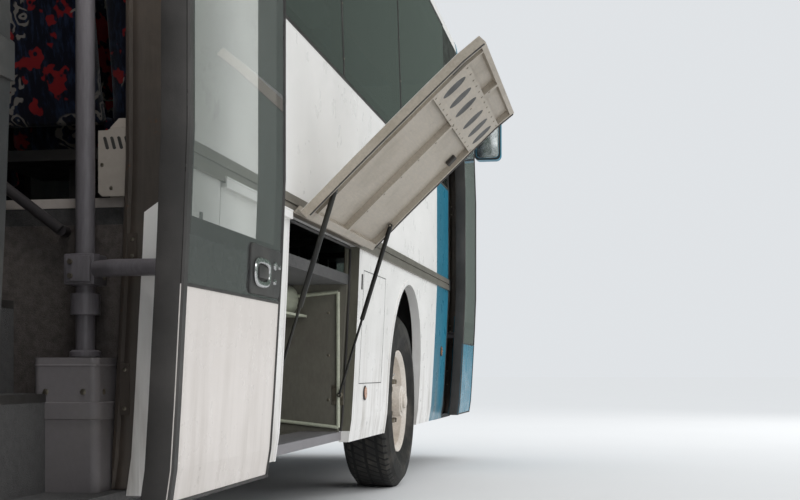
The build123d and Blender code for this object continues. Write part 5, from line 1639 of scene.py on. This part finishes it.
    def fixed_panel(self) -> None:
        """Latch slots, access panel lines and the markers' bezels on the lower sides."""
        slots, lines, bezels = Shape(), Shape(), Shape()
        for side in Side:
            for x in (-1.420, -4.060 if side is Side.LEFT else -3.900):
                slots.loft([[skin(side, x + dx, z, p)
                             for dx, p in ((-0.013, -0.001), (-0.011, 0.003),
                                           (0.011, 0.003), (0.013, -0.001))]
                            for z in (1.112, 1.150, 1.188)])
            for x0, x1, z0, z1 in ((-1.380, -0.780, 0.640, 1.210), (-8.650, -7.050, 0.420, 1.120)):
                for a, b in ((x0, x0 + 0.004), (x1 - 0.004, x1)):
                    lines.loft([[skin(side, x, z, p)
                                 for x, p in ((a, -0.001), (a, 0.0006), (b, 0.0006), (b, -0.001))]
                                for z in heights(z0, z1)])
                for z in (z0, z1):
                    lines.loft([[skin(side, x, z + dz, p) for dz, p in ((-0.002, -0.001), (-0.002, 0.0006),
                                                                         (0.002, 0.0006), (0.002, -0.001))]
                                for x in (x0, x1)])
            for x, z in ((-1.220, 0.590), (1.520, 0.850), (-5.250, 0.850), (-7.400, 0.850)):
                bezels.turned([(0.0, 0.038), (0.004, 0.038), (0.007, 0.034), (0.007, 0.032), (0.0, 0.032)],
                              skin(side, x, z, 0.0), Vector((0, side.value, 0)), 28, ring=True)
        place("latch_slots", slots.mesh("slots"), "coach_body", Kit.BLACK)
        place("panel_lines", lines.mesh("lines"), "coach_body", Kit.RUBBER)
        place("marker_bezels", bezels.mesh("bezels"), "coach_body", Kit.BLACK)

    def flap_fittings(self) -> None:
        """Rivets, latches and hole shade on the open flap's inner side, and the other flaps' locks."""
        opened = self.opened()
        turn = opened.to_3x3()
        inward = turn @ Vector((0, 1, 0))
        middle = (self.rear + self.front) / 2
        spots = []
        for x in (self.rear + 0.020, middle, self.front - 0.020):
            spots += [(opened @ skin(Side.RIGHT, x, 0.42 + 0.105 * k, -0.0342), inward) for k in range(8)]
        for z in (0.458, 0.626):
            spots += [(opened @ skin(Side.RIGHT, self.rear + 0.130 + 0.105 * k, z, -0.0342), inward)
                      for k in range(12)]
        fixings("flap_rivets", spots, "flap_right_a", 0.0055, 0.002)
        dark = Shape().loft([[skin(Side.RIGHT, x, z, p)
                              for z, p in ((0.452, -0.0322), (0.452, -0.0332),
                                           (0.630, -0.0332), (0.630, -0.0322))]
                             for x in (self.rear + 0.135, self.front - 0.050)])
        dark.move(opened)
        place("flap_hole_shade", dark.mesh("shade"), "flap_right_a", Kit.BLACK)
        latch = Shape()
        latch.block(row(self.rear + 0.045, -1.196, 0.430), row(self.rear + 0.084, -1.182, 0.520), 0.004)
        latch.tube([row(self.rear + 0.064, -1.192, 0.372 + 0.04 * k) for k in range(5)], 0.006, 10)
        latch.block(row(self.front - 0.140, -1.214, 0.700), row(self.front - 0.085, -1.198, 0.755), 0.004)
        latch.move(opened)
        place("flap_latches", latch.mesh("latches"), "flap_right_a", Kit.IRON)
        for body, side, xs in (("flap_right_b", Side.RIGHT, (-3.60, -2.98)),
                               ("flap_left_a", Side.LEFT, (-2.70, -1.64)),
                               ("flap_left_b", Side.LEFT, (-3.60, -2.98))):
            locks = Shape()
            for x in xs:
                locks.turned([(-0.001, 0.024), (0.003, 0.024), (0.005, 0.020), (0.005, 0.012), (0.0035, 0.0)],
                             skin(side, x, 0.470, 0.0), Vector((0, side.value, 0)), 24)
            place(body + "_locks", locks.mesh("locks"), body, Kit.BLACK)


@dataclass
class WheelSet:
    """Wheels: nuts, hub and tread."""

    nuts: int = 10
    circle: float = 0.1240
    axle_z: float = 0.520
    rear_x: float = -6.150

    def build(self) -> None:
        """Dresses wheels and adds nuts and caps."""
        dress(Kit.WHEEL, "front_rim_right", "front_rim_left", "rear_rims_right", "rear_rims_left")
        dress(Kit.TYRE, "front_tyre_right", "front_tyre_left", "rear_tyres_right", "rear_tyres_left")
        dress(Kit.IRON, "knuckle_right", "knuckle_left")
        for side in Side:
            name = side.name.lower()
            self.fit(f"front_wheel_{name}", 0.0, side, 1.140, 1.201)
            self.fit(f"rear_wheels_{name}", self.rear_x, side, 0.908, 0.908)

    def fit(self, body: str, x: float, side: Side, disc: float, hub: float) -> None:
        """Nuts, hub cap and valve of one wheel.

        Args:
            body: Body of the wheel.
            x: Its axle.
            side: Its side.
            disc: Distance of the disc's outer face from the centreline.
            hub: Distance of the hub's end from the centreline.
        """
        out = Vector((0, side.value, 0))
        ring = [(row(x + self.circle * math.cos(a), side.value * disc,
                     self.axle_z + self.circle * math.sin(a)), out)
                for a in (math.tau * k / self.nuts for k in range(self.nuts))]
        fixings(f"{body}_nuts", ring, body, 0.0165, 0.022, Head.HEX)
        cap = Shape()
        cap.turned([(-0.001, 0.070), (0.006, 0.070), (0.010, 0.062), (0.010, 0.046), (0.022, 0.044),
                    (0.028, 0.036), (0.030, 0.0)], row(x, side.value * hub, self.axle_z), out, 32)
        place(f"{body}_hub_cap", cap.mesh("cap"), body, Kit.WHEEL)
        valve = Shape().tube([row(x, side.value * (disc + 0.002), self.axle_z + 0.150),
                              row(x, side.value * (disc + 0.018), self.axle_z + 0.168)], 0.004, 8)
        place(f"{body}_valve", valve.mesh("valve"), body, Kit.CHROME)


@dataclass
class Underbody:
    """Frame, axles, engine and tank."""

    def build(self) -> None:
        """Dresses what hangs below the floor."""
        dress(Kit.CHASSIS, "chassis_frame", "engine_block", "fuel_tank")
        dress(Kit.IRON, "front_axle", "rear_axle")


@dataclass
class SeatRow:
    """Padded double seats along both sides, each with two cushions and two backs."""

    cushion_top: float = 1.630
    width: float = 0.900
    recline: float = 12.0
    right_x: tuple[float, ...] = tuple(0.600 - SEAT_PITCH * i for i in range(6)) \
        + tuple(-5.750 - SEAT_PITCH * i for i in range(4))
    left_x: tuple[float, ...] = tuple(0.380 - SEAT_PITCH * i for i in range(12))

    def build(self) -> None:
        """Makes both rows, in the space of their plain solids."""
        dress(Kit.BLACK, "seat_frames_right", "seat_frames_left")
        cushion = padded_block((0.388, 0.424, 0.100), "cushion", 0.016)
        back = padded_block((0.082, 0.424, 0.700), "back", 0.016)
        for side, xs, name in ((Side.RIGHT, self.right_x, "right"), (Side.LEFT, self.left_x, "left")):
            middle = side.value * (HALF_WIDTH - 0.070 - self.width / 2)
            spots = []
            for x in xs:
                for half in (-0.225, 0.225):
                    spots.append((cushion, Matrix.Translation(row(x + 0.215, middle + half,
                                                                  self.cushion_top - 0.062))))
                    spots.append((back, Matrix.Translation(row(x - 0.132, middle + half, 1.905))
                                  @ Matrix.Rotation(math.radians(-self.recline), 4, "Y")))
            piece = place(f"padded_seats_{name}", joined(f"seats_{name}", spots), "coach_body", Kit.CLOTH,
                          60)
            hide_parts(f"seat_cushions_{name}")
            self.handles(name, middle, xs)

    def handles(self, name: str, middle: float, xs: tuple[float, ...]) -> None:
        """Moulded grab handles on top of the seat backs.

        Args:
            name: Side, as in the piece's name.
            middle: Middle of the seats across the coach.
            xs: Places of the rows.
        """
        shape = Shape()
        for x in xs:
            top = x - 0.130 - 0.172
            for half in (-0.225, 0.225):
                y = middle + half
                shape.tube([row(top + 0.030, y - 0.10, 2.262), row(top + 0.018, y - 0.09, 2.288),
                            row(top + 0.012, y - 0.06, 2.300), row(top + 0.012, y + 0.06, 2.300),
                            row(top + 0.018, y + 0.09, 2.288), row(top + 0.030, y + 0.10, 2.262)], 0.009, 8)
        place(f"seat_handles_{name}", shape.mesh("handles"), "coach_body", Kit.BLACK)


@dataclass
class Cabin:
    """What shows inside: floor, racks, driver's place and the stair wells."""

    driver: tuple[float, float] = (1.480, 0.620)
    seat_z: float = 1.360

    def build(self) -> None:
        """Dresses the cabin and adds its fittings."""
        dress(Kit.FLOOR, "floor_deck")
        dress(Kit.GREY, "overhead_racks")
        dress(Kit.BLACK, "dashboard", "steering_wheel")
        dress(Kit.WELL, "mid_well_trim")
        self.driver_seat()
        self.slotted_cover()
        self.step_edges()
        self.dials()

    def driver_seat(self) -> None:
        """The driver's padded seat on its box, in the space of the plain solid."""
        x, y = self.driver
        cushion = padded_block((0.430, 0.440, 0.075), "driver_cushion", 0.012)
        back = padded_block((0.075, 0.440, 0.560), "driver_back", 0.012)
        spots = [(cushion, Matrix.Translation(row(x + 0.225, y, self.seat_z - 0.062))),
                 (back, Matrix.Translation(row(x - 0.050, y, self.seat_z + 0.330))
                  @ Matrix.Rotation(math.radians(-9.0), 4, "Y"))]
        seat = place("driver_padded_seat", joined("driver_seat_pads", spots), "coach_body", Kit.CLOTH,
                     60)
        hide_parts("driver_seat")
        box = Shape().block(row(x - 0.035, y - 0.125, 0.9003), row(x + 0.295, y + 0.125, self.seat_z - 0.105),
                            0.02)
        place("driver_seat_box", box.mesh("box"), "coach_body", Kit.BLACK)

    def slotted_cover(self) -> None:
        """Sheet over the slotted panel of the middle stair well, with its screws, and its slots as black
        sheets of painted shade.
        """
        x, y0, y1, z0, z1, cut = -4.1335, -1.1395, -1.020, 1.2085, 1.408, 0.012
        sheet, slots = Shape(), Shape()
        outline = [(y0, z0), (y1 - cut, z0), (y1, z0 + cut), (y1, z1 - 0.008), (y1 - 0.028, z1 - 0.008),
                   (y1 - 0.044, z1), (y0, z1)]
        sheet.prism([row(x, y, z) for y, z in outline], Vector((0.0025, 0, 0)))
        place("slotted_cover", sheet.mesh("cover"), "coach_body", Kit.BEIGE)
        # Painted shade: the slots are thin black sheets on the cover's face, standing in for the dark of the
        # openings.
        for k in range(5):
            y, z = y1 - 0.020 - 0.0215 * k, z1 - 0.045
            slots.prism([row(x - 0.0003, y - dy, z + dz) for dy, dz in
                         ((0.004, -0.017), (0.009, -0.019), (0.014, -0.016), (0.005, 0.016), (0.000, 0.019),
                          (-0.005, 0.016))], Vector((0.0004, 0, 0)))
        place("cover_slots", slots.mesh("slots"), "coach_body", Kit.BLACK)
        spots = [(row(x, y, z), Vector((-1, 0, 0))) for y, z in ((y1 - 0.012, 1.300), (y1 - 0.040, 1.232),
                                                                (y1 - 0.100, 1.232))]
        fixings("cover_screws", spots, "coach_body", 0.0055, 0.002)

    def step_edges(self) -> None:
        """Rubber nosings on the steps of both doorways."""
        shape = Shape()
        for x0, x1, top, steps in ((-5.150, -4.104, 1.180, 3), (1.770, 2.500, 0.900, 2)):
            rise = (top - 0.365) / steps
            for i in range(1, steps + 1):
                y, z = -1.1417 + i * 0.200, 0.365 + i * rise
                shape.block(row(x0 + 0.002, y - 0.001, z - 0.022), row(x1 - 0.002, y + 0.028, z + 0.002),
                            0.001, 1)
        place("step_nosings", shape.mesh("nosings"), "coach_body", Kit.RUBBER)

    def dials(self) -> None:
        """Two dials and a row of switches on the dashboard."""
        shape = Shape()
        facing = Vector((-0.75, 0.0, 0.66)).normalized()
        for y in (0.540, 0.700):
            shape.turned([(-0.004, 0.060), (0.008, 0.060), (0.008, 0.052), (0.003, 0.050), (0.003, 0.0)],
                         row(2.335, y, 1.176), facing, 32)
        for k in range(6):
            shape.block(row(2.400, 0.20 - 0.05 * k, 1.2295), row(2.440, 0.235 - 0.05 * k, 1.238), 0.003, 1)
        place("dials", shape.mesh("dials"), "coach_body", Kit.GREY)


@dataclass
class Fittings:
    """Lamps, markers, mirrors, plates, the rear gasket and the roof hatches' vents."""

    nose_x: float = 2.850
    tail_x: float = -9.150

    def build(self) -> None:
        """Dresses the lamps and adds trim to nose, tail and roof."""
        dress(Kit.LENSES, "lamps")
        dress(Kit.AMBER, "side_markers")
        dress(Kit.SHELL, "mirrors")
        self.mirror_glass()
        self.lamp_bezels()
        self.plates()
        self.gaskets()
        self.hatches()

    @staticmethod
    def rounded(y: float, z: float, wide: float, high: float, corner: float) -> list[tuple[float, float]]:
        """A rounded rectangle as Y and Z points.

        Args:
            y, z: Its middle.
            wide, high: Its size.
            corner: Radius of its corners.

        Returns:
            The points, in order.
        """
        points = []
        for cy, cz, start in ((1, 1, 0), (-1, 1, 90), (-1, -1, 180), (1, -1, 270)):
            points += [(y + cy * (wide / 2 - corner) + corner * math.cos(math.radians(start + a)),
                        z + cz * (high / 2 - corner) + corner * math.sin(math.radians(start + a)))
                       for a in (0, 30, 60, 90)]
        return points

    def mirror_glass(self) -> None:
        """Glass and rim on the back of each mirror head."""
        glass, rim = Shape(), Shape()
        for side in Side:
            y, z, x = side.value * 1.420, 2.710, 2.995
            for shape, rings in ((glass,
                                  ((0.190, 0.400, 0.0005), (0.190, 0.400, -0.0007), (0.184, 0.394, -0.001))),
                                 (rim,
                                  ((0.222, 0.432, 0.001), (0.222, 0.432, -0.001), (0.212, 0.422, -0.0016),
                                        (0.196, 0.406, -0.0014), (0.194, 0.404, 0.001)))):
                shape.loft([[row(x + dx, py, pz) for py, pz in self.rounded(y, z, wide, high, 0.035)]
                            for wide, high, dx in rings])
        place("mirror_rims", rim.mesh("rims"), "coach_body", Kit.BLACK)
        place("mirror_glasses", glass.mesh("glasses"), "coach_body", Kit.MIRROR)

    def lamp_bezels(self) -> None:
        """Dark surrounds of the front lamps."""
        shape = Shape()
        y, z, wide, high = 0.960, 0.790, 0.300, 0.170
        for side in Side:
            shape.loft([[row(self.nose_x + dx, py, pz)
                         for py, pz in self.rounded(side.value * y, z, wide + g, high + g, 0.02)]
                        for g, dx in ((0.030, -0.004), (0.030, -0.0005), (0.0, -0.0005), (0.0, -0.012))],
                       closed=True)
        place("lamp_bezels", shape.mesh("bezels"), "coach_body", Kit.BLACK)

    def plates(self) -> None:
        """Blank number plates at both ends, with their screws."""
        shape, spots = Shape(), []
        for x, out, z in ((self.nose_x, -1, 0.560), (self.tail_x, 1, 0.560)):
            shape.loft([[row(x + out * dx, py, pz) for py, pz in self.rounded(0.0, z, wide, high, 0.012)]
                        for wide, high, dx in ((0.520, 0.110, 0.004), (0.520, 0.110, -0.0003),
                                               (0.516, 0.106, -0.001))])
            spots += [(row(x - out * 0.001, y, z), Vector((-out, 0, 0))) for y in (-0.20, 0.20)]
        place("blank_plates", shape.mesh("plates"), "coach_body", Kit.WHITE)
        fixings("plate_screws", spots, "coach_body", 0.006, 0.002)

    def gaskets(self) -> None:
        """Rubber round the rear window."""
        shape = Shape()
        for z, low in ((2.130, True), (3.060, False)):
            x = self.tail_x + (0.023 if low else 0.083)
            shape.tube([row(x, y, z) for y in (-1.030, 1.030)], 0.009, 8)
        for y in (-1.035, 1.035):
            shape.tube([row(self.tail_x + 0.023, y, 2.130), row(self.tail_x + 0.027, y, 2.200),
                        row(self.tail_x + 0.083, y, 3.060)], 0.009, 8)
        place("rear_gasket", shape.mesh("gasket"), "coach_body", Kit.RUBBER)

    def hatches(self) -> None:
        """Ribbed vents in the roof hatches."""
        shape = Shape()
        for x in (-1.900, -6.500):
            for k in range(5):
                shape.block(row(x - 0.30, -0.20 + 0.08 * k, 3.584), row(x + 0.30, -0.17 + 0.08 * k, 3.607),
                            0.004, 1)
        place("hatch_vents", shape.mesh("vents"), "coach_body", Kit.GREY)


def main() -> None:
    """Builds the studio and the coach, piece by piece."""
    logging.basicConfig(level=logging.INFO, format="%(name)s: %(message)s")
    for part in (Studio(), CoachBody(), DoorFrame("mid", -5.120, -4.200, 0.072),
                 DoorFrame("front", 1.790, 2.570, turn=-1.790), MidDoor(), FrontDoor(), LuggageSide(),
                 WheelSet(), Underbody(), SeatRow(), Cabin(), Fittings()):
        log.info("building %s", type(part).__name__)
        part.build()


if __name__ == "__main__":
    main()
